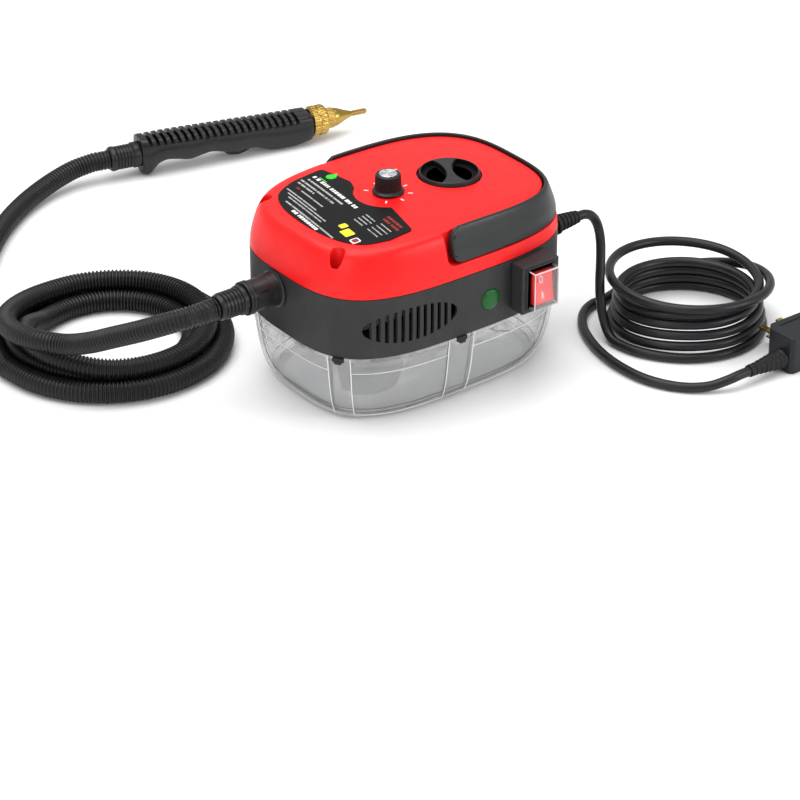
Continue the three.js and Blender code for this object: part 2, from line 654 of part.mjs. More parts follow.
// ---------------------------------------------------------------- gun
// The gun's own frame: x along its barrel from the back of its body, z up from the floor it rests on.
// Stations along the barrel: [x, belly height, spine height, half width].
const GUN_STATIONS = [
  [-3, 11, 38.5, 13], [-1.5, 2, 38.5, 14], [1, 0, 38.5, 14.5], [5, 0, 38.3, 15], [13, 8.5, 38, 15.2],
  [22, 12, 37.7, 15.5], [34, 10.5, 37.2, 16], [46, 8, 36.8, 16.2], [58, 10, 36.3, 16],
  [68, 11.5, 35.9, 15.8], [80, 9, 35.4, 16], [92, 6, 35, 16.2], [112, 7, 34.1, 16], [132, 1.4, 33.4, 16.2],
  [143, 0, 33, 16.4], [156, 0, 32.4, 16.5], [172, 3, 31.8, 16.2], [174, 4.5, 30.5, 15],
];
// Cooling slots across the spine: the first slot's floor is at start, and floors fall along the gun.
const SPINE_SLOT = { count: 22, first: 4, pitch: 7.2, width: 3.2, start: 32, fall: 6.7 };
const TRIGGER = { left: 84, right: 110, bottom: 2.4, top: 12, halfWidth: 6, travel: 3 };

/** A solid along x whose sections are rounded boxes, one for each station. */
function lofted(stations, sides, power) {
  const last = stations.length - 1;
  const points = [
    new THREE.Vector2(0, 0),
    ...stations.map((_, i) => new THREE.Vector2(1, i)),
    new THREE.Vector2(0, last),
  ];
  const geometry = new THREE.LatheGeometry(points, sides);
  const position = geometry.getAttribute('position');
  for (let i = 0; i < position.count; i += 1) {
    const [x, low, high, halfWidth] = stations[Math.round(position.getY(i))];
    const [c, s] = [position.getX(i), position.getZ(i)];
    const size = Math.hypot(c, s);
    const reach = size < 1e-6 ? 0 : (Math.abs(c) ** power + Math.abs(s) ** power) ** (-1 / power);
    position.setXYZ(i, x, c * reach * halfWidth, (low + high) / 2 + (s * reach * (high - low)) / 2);
  }
  return solid(geometry);
}

const onBarrel = { axis: 'x', centre: [0, 0, GUN.axisZ], sides: 24 };

/** The gun's closed body before it is parted into halves. */
function gunBody() {
  let body = lofted(GUN_STATIONS, 16, 4.5);
  for (let i = 0; i < SPINE_SLOT.count; i += 1) {
    const x = SPINE_SLOT.first + i * SPINE_SLOT.pitch;
    const floor = SPINE_SLOT.start - (x / GUN.length) * SPINE_SLOT.fall;
    body = body.subtract(block([x, -30, floor], [x + SPINE_SLOT.width, 30, 60]));
  }
  const bore = bar(GUN.boreRadius, -10, 190, { ...onBarrel, sides: 16 });
  const triggerSlot = block(
    [TRIGGER.left - GAP, -TRIGGER.halfWidth - GAP, -5],
    [TRIGGER.right + GAP, TRIGGER.halfWidth + GAP, TRIGGER.top + TRIGGER.travel + 0.2],
  );
  return body.subtract(bore).subtract(triggerSlot);
}

function gunHalf(side) {
  const near = GAP / 2;
  const far = 60;
  const [low, high] = side < 0 ? [-far, -near] : [near, far];
  return gunBody().intersect(block([-60, low, -10], [300, high, 60]));
}

function gunTrigger() {
  const { left, right, bottom, top, halfWidth } = TRIGGER;
  const outline = [
    [left, top], [left, 6.5], [left + 6, bottom + 1.2], [left + 13, bottom], [right - 6, bottom + 1.2],
    [right, 7], [right, top],
  ];
  const shape = new THREE.Shape(outline.map(([x, z]) => new THREE.Vector2(x, z)));
  const geometry = new THREE.ExtrudeGeometry(shape, { depth: 2 * halfWidth, bevelEnabled: false });
  geometry.translate(0, 0, -halfWidth);
  geometry.rotateX(Math.PI / 2);
  return solid(geometry);
}

function gunHoseCuff() {
  return turned([
    [0, -33], [10.8, -33], [12, -31], [12, -27.5], [11.2, -27], [11.2, -10], [12.4, -9.5],
    [12.4, -3.3], [0, -3.3],
  ], { axis: 'x', centre: [0, 0, GUN.axisZ + 1.5], sides: 24 });
}

function nozzleNut() {
  return turned([
    [9.6, 174.5], [13, 174.5], [15, 176], [15, 189.5], [14, 191], [9.6, 191], [9.6, 174.5],
  ], onBarrel);
}

/** Brass nozzle: knurled barrel, cone and a threaded tip with a bore right through. */
function steamNozzle() {
  return turned([
    [1.1, 174.8], [6, 174.8], [6, 178], [9.2, 179], [9.2, 203], [8.4, 205], [3, 218.5], [3, 220],
    [2.6, 220.5], [2.6, 235], [2, 236], [1.1, 236], [1.1, 174.8],
  ], onBarrel);
}

// ---------------------------------------------------------------- put together
add('water_tank', waterTank(), 'clear');
add('tank_seal', tankSeal(), 'rubber');
add('mid_housing', midHousing(), 'charcoal');
add('floor_plate', floorPlate(), 'charcoal');
add('top_cover', topCover(), 'red');
add('label_plate', labelPlate(), 'black');
add('carry_handle', carryHandle(), 'black');
add('handle_pin_front', handlePin(-1), 'steel');
add('handle_pin_rear', handlePin(1), 'steel');
add('filler_neck', fillerNeck(), 'black');
add('filler_cap', fillerCap(), 'black');
add('cap_seal', capSeal(), 'rubber');
for (const screw of COVER_SCREWS) add(screw.name, coverScrew(screw), 'steel');
add('steam_knob', knobBody(), 'black');
add('knob_insert', knobInsert(), 'aluminium');
add('pot_shaft', potShaft(), 'aluminium');
add('pot_body', potBody(), 'steel');
add('switch_frame', switchFrame(), 'black');
add('switch_boot', switchBoot(), 'silicone');
add('power_rocker', powerRocker(), 'rocker');
add('switch_body', switchBody(), 'black');
add('indicator_lens', indicatorLens(), 'green');
add('indicator_lamp', indicatorLamp(), 'white');
add('hose_socket', hoseSocket(), 'black');
add('hose_connector', hoseConnector(), 'black');
add('steam_hose_lead', tube(HOSE_LEAD, HOSE_RADIUS, 10, 10), 'rubber');
add('steam_hose_coil', coilRing(HOSE_COIL), 'rubber');
add('steam_hose_tail', tube(HOSE_TAIL, HOSE_RADIUS, 16, 10), 'rubber');
add('cord_gland', cordGland(), 'rubber');
add('mains_cord_lead', tube(CORD_LEAD, CORD_RADIUS, 16), 'rubber');
add('mains_cord_coil', coilRing(CORD_COIL), 'rubber');
add('mains_cord_tail', tube(CORD_TAIL, CORD_RADIUS, 24), 'rubber');
add('plug_relief', plugRelief(), 'plug');
add('plug_body', plugBody(), 'plug');
add('plug_pin_line', plugPin(253, 21), 'steel');
add('plug_pin_neutral', plugPin(273, 21), 'steel');
add('plug_pin_earth', plugPin(263, 9), 'steel');
add('boiler_block', boilerBlock(), 'aluminium');
add('boiler_thermostat', boilerThermostat(), 'steel');
add('thermal_fuse', thermalFuse(), 'white');
add('water_pump', waterPump(), 'steel');
add('pump_bracket', pumpBracket(), 'steel');
add('suction_tube', tube(SUCTION_ROUTE, 3, 16), 'white');
add('suction_filter', bar(9, 3.4, 14, { centre: [20, 52, 0], sides: 20 }), 'steel');
add('feed_tube', tube(FEED_ROUTE, 3, 12), 'white');
add('steam_pipe', tube(STEAM_ROUTE, 3, 14), 'copper');
add('control_board', controlBoard(), 'board');

const gun = new THREE.Group();
gun.position.set(GUN.x, GUN.y, 0);
gun.rotation.z = THREE.MathUtils.degToRad(GUN.heading);
steamCleaner.add(gun);
add('gun_hose_cuff', gunHoseCuff(), 'black', gun);
add('gun_shell_right', gunHalf(-1), 'black', gun);
add('gun_shell_left', gunHalf(1), 'black', gun);
add('gun_steam_tube', bar(STEAM_TUBE_RADIUS, -2.7, 174.2, { ...onBarrel, sides: 12 }), 'steel', gun);
add('gun_trigger', gunTrigger(), 'black', gun);
add('nozzle_nut', nozzleNut(), 'brass', gun);
add('steam_nozzle', steamNozzle(), 'brass', gun);

export default steamCleaner;
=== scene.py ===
"""Looks of a portable steam cleaner: detailed pieces, materials, floor, lights and camera.

Sizes are millimetres in the part's frame: the origin is the centre of the tank's underside, +X runs
to the mains cord end, -Y is the front and +Z is up. Meshes are made in millimetres and stored in
metres.
"""
import math
import random

import bmesh
import bpy
from mathutils import Matrix, Vector


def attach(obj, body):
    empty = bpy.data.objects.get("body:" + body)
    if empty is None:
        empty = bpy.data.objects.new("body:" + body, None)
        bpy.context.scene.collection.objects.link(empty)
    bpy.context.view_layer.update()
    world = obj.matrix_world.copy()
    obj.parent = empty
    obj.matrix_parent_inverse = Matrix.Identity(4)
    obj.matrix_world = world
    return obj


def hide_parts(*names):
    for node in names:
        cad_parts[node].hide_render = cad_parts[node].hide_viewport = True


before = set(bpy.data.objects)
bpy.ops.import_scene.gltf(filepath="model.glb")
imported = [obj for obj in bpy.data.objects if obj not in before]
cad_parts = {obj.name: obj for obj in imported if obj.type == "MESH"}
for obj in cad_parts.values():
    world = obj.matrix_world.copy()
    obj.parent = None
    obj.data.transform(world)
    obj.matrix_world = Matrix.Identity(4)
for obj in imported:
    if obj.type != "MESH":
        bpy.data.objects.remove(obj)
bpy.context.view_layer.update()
MM = 0.001

# ------------------------------------------------------------------ driving dimensions
BODY_LENGTH = 250
BODY_WIDTH = 186.6
CORNER_POWER = 3.3
AXIS = BODY_WIDTH / 2
FRONT = -BODY_WIDTH / 2
TANK_TOP = 65
COVER_SEAM = 119.5
COVER_TOP = 161.8
CROWN_DROP_LONG = 5
CROWN_DROP_WIDE = 1.5
WALL = 2.5
GAP = 0.3
RECESS_INSET = 12.3
RECESS_FLOOR = 131.4
RECESS_END = -25
RECESS_FILLET = 8
HANDLE_PIVOT = Vector((-12.5, 0, 150.5))
HANDLE_END = -19
HANDLE_FILLETS = {"lower": 9, "upper": 13}
HANDLE_RISE = 2.5
KNOB = Vector((-17, 0, 0))
CAP = Vector((45, -2.5, 0))
CAP_TOP = 164.6
CAP_SEAT = 158.8
CAP_BAR_ANGLE = 63
LAMP = Vector((17.5, 0, 90))
LAMP_RADIUS = 9.3
VENT = {"x": -59, "z": 91.5, "half_length": 42, "half_height": 15.2, "slots": 12, "pitch": 6.75, "width": 3.4}
SWITCH = {"left": 39.5, "right": 78, "bottom": 73.6, "top": 117.2, "front": -107.7}
BOOT = {"left": 45.6, "right": 71, "bottom": 79, "top": 113, "depth": 8.5, "wall": 0.8}
SOCKET = Vector((0, 10.6, 102.6))
GLAND = Vector((0, -46, 107))
# Each screw's place, the height of its seat and the radius of its well.
SCREWS = [
    (-107.3, -52.3, 134.8, 6.2), (-97.5, 61.5, 134.8, 5.8), (105, -60, 128.2, 3.9), (105, 60, 128.2, 3.9),
]
HOSE_RADIUS = 9.25
CORD_RADIUS = 4.2
GUN_PLACE = Matrix.Translation((20, 440, 0)) @ Matrix.Rotation(math.radians(-12), 4, "Z")
GUN_AXIS_Z = 19.5

# ------------------------------------------------------------------ camera
camera = bpy.data.objects.new("camera", bpy.data.cameras.new("camera"))
bpy.context.scene.collection.objects.link(camera)
camera.location = (-1.3575, -1.7758, 1.2485)
camera.rotation_euler = (math.radians(60), 0, math.radians(-37.3))
camera.data.lens = 135
camera.data.sensor_width = 36
bpy.context.scene.camera = camera


# ------------------------------------------------------------------ materials
class Look:
    """A node material that is built a piece at a time."""

    def __init__(self, name, **sockets):
        self.material = bpy.data.materials.new(name)
        self.material.use_nodes = True
        self.tree = self.material.node_tree
        self.shader = self.tree.nodes["Principled BSDF"]
        for socket, value in sockets.items():
            self.shader.inputs[socket.replace("_", " ")].default_value = value
        self.place = self.tree.nodes.new("ShaderNodeTexCoord").outputs["Object"]

    def link(self, source, target):
        self.tree.links.new(source, target)

    def math(self, operation, first, second=0.0, third=0.0):
        node = self.tree.nodes.new("ShaderNodeMath")
        node.operation = operation
        for socket, value in zip(node.inputs, (first, second, third), strict=True):
            if isinstance(value, (int, float)):
                socket.default_value = value
            else:
                self.link(value, socket)
        return node.outputs["Value"]

    def noise(self, size_mm, detail=3.0, stretch=(1, 1, 1)):
        """Noise whose features are about size_mm across."""
        mapping = self.tree.nodes.new("ShaderNodeMapping")
        mapping.inputs["Scale"].default_value = stretch
        self.link(self.place, mapping.inputs["Vector"])
        node = self.tree.nodes.new("ShaderNodeTexNoise")
        node.inputs["Scale"].default_value = 1 / (size_mm * MM)
        node.inputs["Detail"].default_value = detail
        self.link(mapping.outputs["Vector"], node.inputs["Vector"])
        return node.outputs["Fac"]

    def cells(self, size_mm):
        """Small cells for a moulded grain: 0 at each cell's middle."""
        node = self.tree.nodes.new("ShaderNodeTexVoronoi")
        node.inputs["Scale"].default_value = 1 / (size_mm * MM)
        self.link(self.place, node.inputs["Vector"])
        return node.outputs["Distance"]

    def spread(self, source, low, high, start=0.3, end=0.7):
        """Maps a value from start..end to low..high."""
        node = self.tree.nodes.new("ShaderNodeMapRange")
        for name, value in (("From Min", start), ("From Max", end), ("To Min", low), ("To Max", high)):
            node.inputs[name].default_value = value
        self.link(source, node.inputs["Value"])
        return node.outputs["Result"]

    def colours(self, source, *stops):
        """A colour ramp; stops are (position, (r, g, b))."""
        node = self.tree.nodes.new("ShaderNodeValToRGB")
        ramp = node.color_ramp
        while len(ramp.elements) < len(stops):
            ramp.elements.new(0.5)
        for element, (position, colour) in zip(ramp.elements, stops, strict=True):
            element.position = position
            element.color = (*colour, 1)
        self.link(source, node.inputs["Fac"])
        self.link(node.outputs["Color"], self.shader.inputs["Base Color"])

    def roughness(self, source, low, high, start=0.3, end=0.7):
        self.link(self.spread(source, low, high, start, end), self.shader.inputs["Roughness"])

    def bump(self, height, depth_mm, strength=1.0):
        node = self.tree.nodes.new("ShaderNodeBump")
        node.inputs["Strength"].default_value = strength
        node.inputs["Distance"].default_value = depth_mm * MM
        self.link(height, node.inputs["Height"])
        self.link(node.outputs["Normal"], self.shader.inputs["Normal"])


def shade(colour, factor):
    return tuple(min(1.0, c * factor) for c in colour)


def moulded(name, colour, rough, grain_mm, grain_depth, mottle=0.12, **sockets):
    """Moulded plastic or rubber: mottled colour, uneven gloss and a fine grain."""
    look = Look(name, **{"Specular_IOR_Level": 0.26, **sockets})
    broad = look.noise(38, 4)
    look.colours(broad, (0.3, shade(colour, 1 - mottle)), (0.7, shade(colour, 1 + mottle)))
    smears = look.noise(9, 5, (1, 1, 0.5))
    look.roughness(smears, rough * 0.85, rough * 1.2)
    look.bump(look.math("ADD", look.cells(grain_mm), look.noise(grain_mm * 0.6, 2)), grain_depth)
    return look.material


def metal(name, colour, dark, rough, scratch_mm, stretch, **sockets):
    """Metal with fine scratches along one direction and a slight tarnish."""
    look = Look(name, Metallic=1.0, **sockets)
    tarnish = look.noise(16, 3)
    look.colours(tarnish, (0.3, dark), (0.62, colour))
    scratches = look.noise(scratch_mm, 3, stretch)
    look.roughness(scratches, rough * 0.8, rough * 1.3)
    look.bump(scratches, 0.006)
    return look.material


def clear(name, tint, alpha, rough):
    """Clear plastic with a faint haze that varies, flow marks and hairline scratches."""
    look = Look(name, Base_Color=(*tint, 1), Transmission_Weight=1.0, IOR=1.4)
    look.link(look.spread(look.noise(48, 3), alpha * 0.93, alpha * 1.07), look.shader.inputs["Alpha"])
    look.roughness(look.noise(7, 3), rough * 0.6, rough * 1.6)
    look.bump(look.noise(30, 1, (1, 1, 0.25)), 0.12, 0.4)
    return look.material


def spun_disc(name, colour, centre):
    """Spun aluminium: fine rings round a centre."""
    look = Look(name, Metallic=1.0, Roughness=0.28, Base_Color=(*colour, 1))
    separate = look.tree.nodes.new("ShaderNodeSeparateXYZ")
    look.link(look.place, separate.inputs["Vector"])
    along = look.math("SUBTRACT", separate.outputs["X"], centre.x * MM)
    across = look.math("SUBTRACT", separate.outputs["Y"], centre.y * MM)
    radius = look.math("SQRT", look.math("ADD", look.math("POWER", along, 2), look.math("POWER", across, 2)))
    rings = look.math("SINE", look.math("MULTIPLY", radius, 2 * math.pi / (0.35 * MM)))
    fan = look.math("SINE", look.math("MULTIPLY", look.math("ARCTAN2", across, along), 4))
    look.roughness(fan, 0.16, 0.42, -1, 1)
    look.bump(rings, 0.03, 0.6)
    return look.material


RED = (0.80, 0.009, 0.009)
looks = {
    "red": moulded("red_abs", RED, 0.36, 0.5, 0.012, 0.05),
    "housing": moulded("housing_abs", (0.026, 0.026, 0.027), 0.5, 0.7, 0.02),
    "handle": moulded("handle_abs", (0.017, 0.018, 0.018), 0.36, 0.6, 0.015, Specular_IOR_Level=0.36),
    "black": moulded("black_nylon", (0.008, 0.008, 0.009), 0.36, 0.6, 0.015, Specular_IOR_Level=0.34),
    # Near black with little gloss: painted shade for the inside of the cap's deep pockets.
    "painted_pocket_shade": moulded("pocket_shade_abs", (0.004, 0.004, 0.0045), 0.6, 0.6, 0.02, Specular_IOR_Level=0.1),
    "cap": moulded("cap_abs", (0.020, 0.020, 0.022), 0.4, 0.6, 0.02),
    "gun": moulded("gun_nylon", (0.007, 0.007, 0.008), 0.32, 0.8, 0.02, Specular_IOR_Level=0.36),
    "hose": moulded("hose_nylon", (0.009, 0.009, 0.010), 0.36, 1.1, 0.015, Specular_IOR_Level=0.34),
    "cord": moulded("cord_pvc", (0.008, 0.0085, 0.010), 0.38, 0.9, 0.015, Specular_IOR_Level=0.34),
    "rubber": moulded("rubber", (0.009, 0.009, 0.010), 0.55, 0.8, 0.02),
    "plug": moulded("plug_pvc", (0.012, 0.013, 0.016), 0.44, 0.8, 0.03),
    "label": moulded("label_film", (0.005, 0.005, 0.0055), 0.42, 0.9, 0.006, Specular_IOR_Level=0.12),
    "ink_white": moulded("ink_white", (0.72, 0.72, 0.70), 0.5, 0.4, 0.01, 0.06),
    "ink_grey": moulded("ink_grey", (0.42, 0.42, 0.41), 0.5, 0.4, 0.01, 0.1),
    "ink_green": moulded("ink_green", (0.03, 0.50, 0.03), 0.5, 0.4, 0.01, 0.1),
    "ink_yellow": moulded("ink_yellow", (0.85, 0.66, 0.03), 0.5, 0.4, 0.01, 0.06),
    "ink_red": moulded("ink_red", (0.26, 0.02, 0.015), 0.5, 0.4, 0.01, 0.1),
    "rocker": moulded("rocker_red", (0.80, 0.010, 0.008), 0.2, 0.5, 0.004, 0.05, Coat_Weight=0.3),
    "lens": moulded("lens_green", (0.001, 0.085, 0.010), 0.25, 0.6, 0.01, 0.15, Coat_Weight=0.1),
    "brass": metal("brass", (0.50, 0.33, 0.085), (0.38, 0.24, 0.055), 0.26, 0.5, (0.2, 1, 1)),
    "steel": metal("steel", (0.55, 0.56, 0.58), (0.36, 0.37, 0.39), 0.32, 0.5, (1, 0.2, 1)),
    "zinc": metal("zinc", (0.34, 0.35, 0.36), (0.2, 0.2, 0.22), 0.4, 0.5, (1, 1, 0.3)),
    "cast": metal("cast_aluminium", (0.62, 0.63, 0.65), (0.46, 0.47, 0.49), 0.5, 1.6, (1, 1, 1)),
    "copper": metal("copper", (0.72, 0.34, 0.2), (0.5, 0.2, 0.12), 0.3, 0.6, (1, 1, 0.3)),
    "natural": moulded("natural_nylon", (0.62, 0.61, 0.56), 0.4, 0.8, 0.02),
    "board": moulded("board_green", (0.015, 0.09, 0.035), 0.4, 0.6, 0.02, 0.2),
    "tank": clear("tank_clear", (0.74, 0.75, 0.76), 0.36, 0.03),
    "boot": clear("boot_clear", (0.97, 0.95, 0.95), 0.22, 0.02),
    # Whitish look for the switch boot's rounded edges: a painted highlight.
    "edge": moulded("boot_edge_highlight_paint", (0.78, 0.72, 0.71), 0.25, 0.5, 0.01, 0.04),
    # Whitish look: painted highlight lines on the tank. Dark grey look: painted lines of shade on the tank.
    "tank_edge": moulded("tank_edge", (0.80, 0.81, 0.82), 0.2, 0.5, 0.01, 0.04),
    "tank_shadow": moulded("tank_shadow", (0.10, 0.10, 0.105), 0.3, 0.5, 0.01, 0.04),
    "disc": spun_disc("spun_disc", (0.72, 0.73, 0.74), KNOB),
}


# ------------------------------------------------------------------ mesh helpers
def new_piece(name, points, faces, matrix=None):
    """A mesh object from points in millimetres."""
    mesh = bpy.data.meshes.new(name)
    mesh.from_pydata([tuple(p) for p in points], [], faces)
    if matrix is not None:
        mesh.transform(matrix)
    mesh.transform(Matrix.Scale(MM, 4))
    piece = bpy.data.objects.new(name, mesh)
    bpy.context.scene.collection.objects.link(piece)
    outwards(mesh)
    return piece


def outwards(mesh):
    """Turns every closed part's faces outwards."""
    work = bmesh.new()
    work.from_mesh(mesh)
    bmesh.ops.recalc_face_normals(work, faces=work.faces)
    work.to_mesh(mesh)
    work.free()


def bake(piece):
    """Applies the piece's modifiers to its mesh."""
    graph = bpy.context.evaluated_depsgraph_get()
    mesh = bpy.data.meshes.new_from_object(piece.evaluated_get(graph))
    old = piece.data
    piece.modifiers.clear()
    piece.data = mesh
    bpy.data.meshes.remove(old)


def combine(piece, operation, *tools):
    """Boolean of a piece with tools, which are used up."""
    for tool in tools:
        modifier = piece.modifiers.new("combine", "BOOLEAN")
        modifier.object = tool
        modifier.operation = operation
        modifier.solver = "EXACT"
        bake(piece)
        bpy.data.objects.remove(tool)
    return piece


def join(name, *pieces):
    """One object that holds the meshes of several pieces."""
    work = bmesh.new()
    for piece in pieces:
        work.from_mesh(piece.data)
        bpy.data.objects.remove(piece)
    mesh = bpy.data.meshes.new(name)
    work.to_mesh(mesh)
    work.free()
    joined = bpy.data.objects.new(name, mesh)
    bpy.context.scene.collection.objects.link(joined)
    return joined


def round_edges(piece, width, sharp=38, steps=2, material=-1):
    """Rounds the edges that are sharper than an angle."""
    work = bmesh.new()
    work.from_mesh(piece.data)
    bmesh.ops.remove_doubles(work, verts=work.verts, dist=0.04 * MM)
    bmesh.ops.dissolve_degenerate(work, edges=work.edges, dist=0.02 * MM)
    work.to_mesh(piece.data)
    work.free()
    bevel = piece.modifiers.new("round", "BEVEL")
    bevel.width = width * MM
    bevel.segments = steps
    bevel.limit_method = "ANGLE"
    bevel.angle_limit = math.radians(sharp)
    bevel.miter_outer = "MITER_ARC"
    bevel.use_clamp_overlap = False
    bevel.material = material
    bake(piece)


def finished(piece, look, body, round_mm=0.0, sharp=38, steps=2, nodes=(), edge_highlight_look=None):
    """Rounds a piece's edges, smooths it, gives it its look, and puts it on its body."""
    piece.data.materials.clear()
    for name in filter(None, (look, edge_highlight_look)):
        piece.data.materials.append(looks[name])
    # A second look, if given, goes on the rounded edges' faces as a painted highlight.
    if round_mm:
        round_edges(piece, round_mm, sharp, steps, 1 if edge_highlight_look else -1)
    piece.data.polygons.foreach_set("use_smooth", [True] * len(piece.data.polygons))
    piece.data.set_sharp_from_angle(angle=math.radians(sharp))
    weighted = piece.modifiers.new("weighted", "WEIGHTED_NORMAL")
    weighted.keep_sharp = True
    bake(piece)
    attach(piece, body)
    if nodes:
        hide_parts(*nodes)
        piece.name = nodes[0] + "_detail"
    return piece


def box(low, high, name="block", matrix=None):
    (x0, y0, z0), (x1, y1, z1) = low, high
    points = [(x, y, z) for z in (z0, z1) for y in (y0, y1) for x in (x0, x1)]
    faces = [(0, 1, 3, 2), (4, 5, 7, 6), (0, 1, 5, 4), (2, 3, 7, 6), (0, 2, 6, 4), (1, 3, 7, 5)]
    return new_piece(name, points, faces, matrix)


def rings_to_faces(ring_count, size, closed):
    """Faces between rings of the same size, each ring a closed loop."""
    faces = []
    last = ring_count if closed else ring_count - 1
    for i in range(last):
        near, far = i * size, ((i + 1) % ring_count) * size
        for j in range(size):
            k = (j + 1) % size
            faces.append((near + j, near + k, far + k, far + j))
    return faces


TURN = {
    "x": Matrix(((0, 0, 1, 0), (0, 1, 0, 0), (-1, 0, 0, 0), (0, 0, 0, 1))),
    "y": Matrix(((1, 0, 0, 0), (0, 0, 1, 0), (0, -1, 0, 0), (0, 0, 0, 1))),
    "z": Matrix.Identity(4),
}


def turned(profile, name="turned", axis="z", centre=(0, 0, 0), sides=48, flute=None, matrix=None):
    """A turned solid. The profile is [radius, distance along the axis] from end to end, closed at the
    axis, or a loop if it returns to its start. flute(angle, along) adds to a radius."""
    loop = profile[0] == profile[-1]
    profile = profile[:-1] if loop else profile
    points = []
    for radius, along in profile:
        for i in range(sides):
            angle = 2 * math.pi * i / sides
            reach = radius + (flute(angle, along) if flute and radius > 0.2 else 0)
            points.append((reach * math.cos(angle), reach * math.sin(angle), along))
    faces = rings_to_faces(len(profile), sides, loop)
    if not loop:
        faces.append(tuple(range(sides))[::-1])
        faces.append(tuple(range((len(profile) - 1) * sides, len(profile) * sides)))
    place = Matrix.Translation(centre) @ TURN[axis]
    return new_piece(name, points, faces, matrix @ place if matrix is not None else place)


def bar(radius, start, end, **options):
    return turned([(radius, start), (radius, end)], **options)


def prism(outline, start, end, name="prism", matrix=None):
    """A flat outline extruded from start to end along Z."""
    count = len(outline)
    points = [(x, y, start) for x, y in outline] + [(x, y, end) for x, y in outline]
    faces = [tuple(range(count))[::-1], tuple(range(count, 2 * count))]
    faces += [(i, (i + 1) % count, count + (i + 1) % count, count + i) for i in range(count)]
    return new_piece(name, points, faces, matrix)


def curve_at(start, end, slope_in, slope_out, t):
    """A place on the curve from start to end, t from 0 to 1, with those slopes at its ends."""
    return (
        start * (2 * t**3 - 3 * t**2 + 1) + slope_in * (t**3 - 2 * t**2 + t)
        + end * (3 * t**2 - 2 * t**3) + slope_out * (t**3 - t**2)
    )


def smooth_line(points, steps, closed=False):
    """Points on a Catmull-Rom curve through the points given."""
    points = [Vector(p) for p in points]
    count = len(points)
    line = []
    for i in range(count if closed else count - 1):
        if closed:
            before, start, end, after = (points[(i + k) % count] for k in (-1, 0, 1, 2))
        else:
            before, start, end, after = (points[min(max(i + k, 0), count - 1)] for k in (-1, 0, 1, 2))
        slope_in, slope_out = (end - before) / 2, (after - start) / 2
        line += [curve_at(start, end, slope_in, slope_out, step / steps) for step in range(steps)]
    return line if closed else [*line, points[-1]]


def rounded(outline, radius, steps=4):
    """An outline with its corners cut round."""
    result = []
    count = len(outline)
    for i in range(count):
        corner = Vector(outline[i])
        before, after = Vector(outline[i - 1]) - corner, Vector(outline[(i + 1) % count]) - corner
        reach = min(radius, before.length * 0.45, after.length * 0.45)
        start, end = corner + before.normalized() * reach, corner + after.normalized() * reach
        for step in range(steps + 1):
            t = step / steps
            result.append((start * (1 - t) ** 2 + corner * 2 * t * (1 - t) + end * t**2).to_tuple())
    return result


# ------------------------------------------------------------------ the body's footprint
def footprint(angle, inset):
    """The body's rounded-rectangle plan, set in by inset."""
    c, s = math.cos(angle), math.sin(angle)
    reach = (abs(c) ** CORNER_POWER + abs(s) ** CORNER_POWER) ** (-1 / CORNER_POWER)
    core = 45
    share = 1.0
    if inset > core:
        share = (AXIS - inset) / (AXIS - core)
        inset = core
    return (BODY_LENGTH / 2 - inset) * c * reach * share, (AXIS - inset) * s * reach * share


def even_angles(count):
    """Angles that space the footprint's points evenly along its edge."""
    fine = 2880
    edge = [Vector(footprint(2 * math.pi * i / fine, 0)) for i in range(fine + 1)]
    total = sum((edge[i + 1] - edge[i]).length for i in range(fine))
    angles, travelled = [], 0.0
    for i in range(fine):
        if travelled >= len(angles) * total / count:
            angles.append(2 * math.pi * i / fine)
        travelled += (edge[i + 1] - edge[i]).length
    return angles[:count]


def crowned(x, y, z):
    """Lowers heights above the cover's seam so that its top is crowned."""
    drop = CROWN_DROP_LONG * (x / (BODY_LENGTH / 2)) ** 2 + CROWN_DROP_WIDE * (y / AXIS) ** 2
    return z - max(0.0, (z - COVER_SEAM) / (COVER_TOP - COVER_SEAM)) * drop


def shell_form(profile, name="shell", angles=None, bend=lambda x, y, z: z, offset=lambda angle, z: 0):
    """A solid whose level sections follow the footprint. Profile points are [inset, height]; a profile
    that ends where it starts is a closed ring."""
    angles = angles or even_angles(160)
    loop = profile[0] == profile[-1]
    profile = profile[:-1] if loop else profile
    points = []
    for inset, z in profile:
        for angle in angles:
            x, y = footprint(angle, min(inset + offset(angle, z), AXIS - 0.02))
            points.append((x, y, bend(x, y, z)))
    size = len(angles)
    faces = rings_to_faces(len(profile), size, loop)
    if not loop:
        faces.append(tuple(range(size))[::-1])
        faces.append(tuple(range((len(profile) - 1) * size, len(profile) * size)))
    return new_piece(name, points, faces)


def shell_slab(inset, low, high):
    return shell_form([(inset, low), (inset, high)])


COVER_SIDE = [
    (0, COVER_SEAM), (0.3, 125), (1.3, 133), (2.9, 141), (5, 149), (7.2, 155), (9.8, 158.8), (13.5, 160.6),
    (22, 161.4), (36, 161.6), (60, 161.75), (AXIS - 4, COVER_TOP),
]


def cover_form(offset):
    """The cover's outer form, set in by offset all over."""
    rise = [(p.x + offset, p.y - offset) for p in smooth_line(COVER_SIDE, 3)]
    start = [(offset, COVER_SEAM - 5)] if offset else []
    return shell_form([*start, *rise], bend=crowned)


def cover_height(x, y):
    """Height of the cover's flat crown at a place."""
    low, high = 0.0, AXIS - 0.1
    for _ in range(24):
        inset = (low + high) / 2
        outside = (
            (abs(x) / (BODY_LENGTH / 2 - inset)) ** CORNER_POWER + (abs(y) / (AXIS - inset)) ** CORNER_POWER
        )
        low, high = (low, inset) if outside > 1 else (inset, high)
    for (i0, z0), (i1, z1) in zip(COVER_SIDE, COVER_SIDE[1:], strict=False):
        if i0 <= low <= i1:
            return crowned(x, y, z0 + (z1 - z0) * (low - i0) / (i1 - i0))
    return crowned(x, y, COVER_TOP)


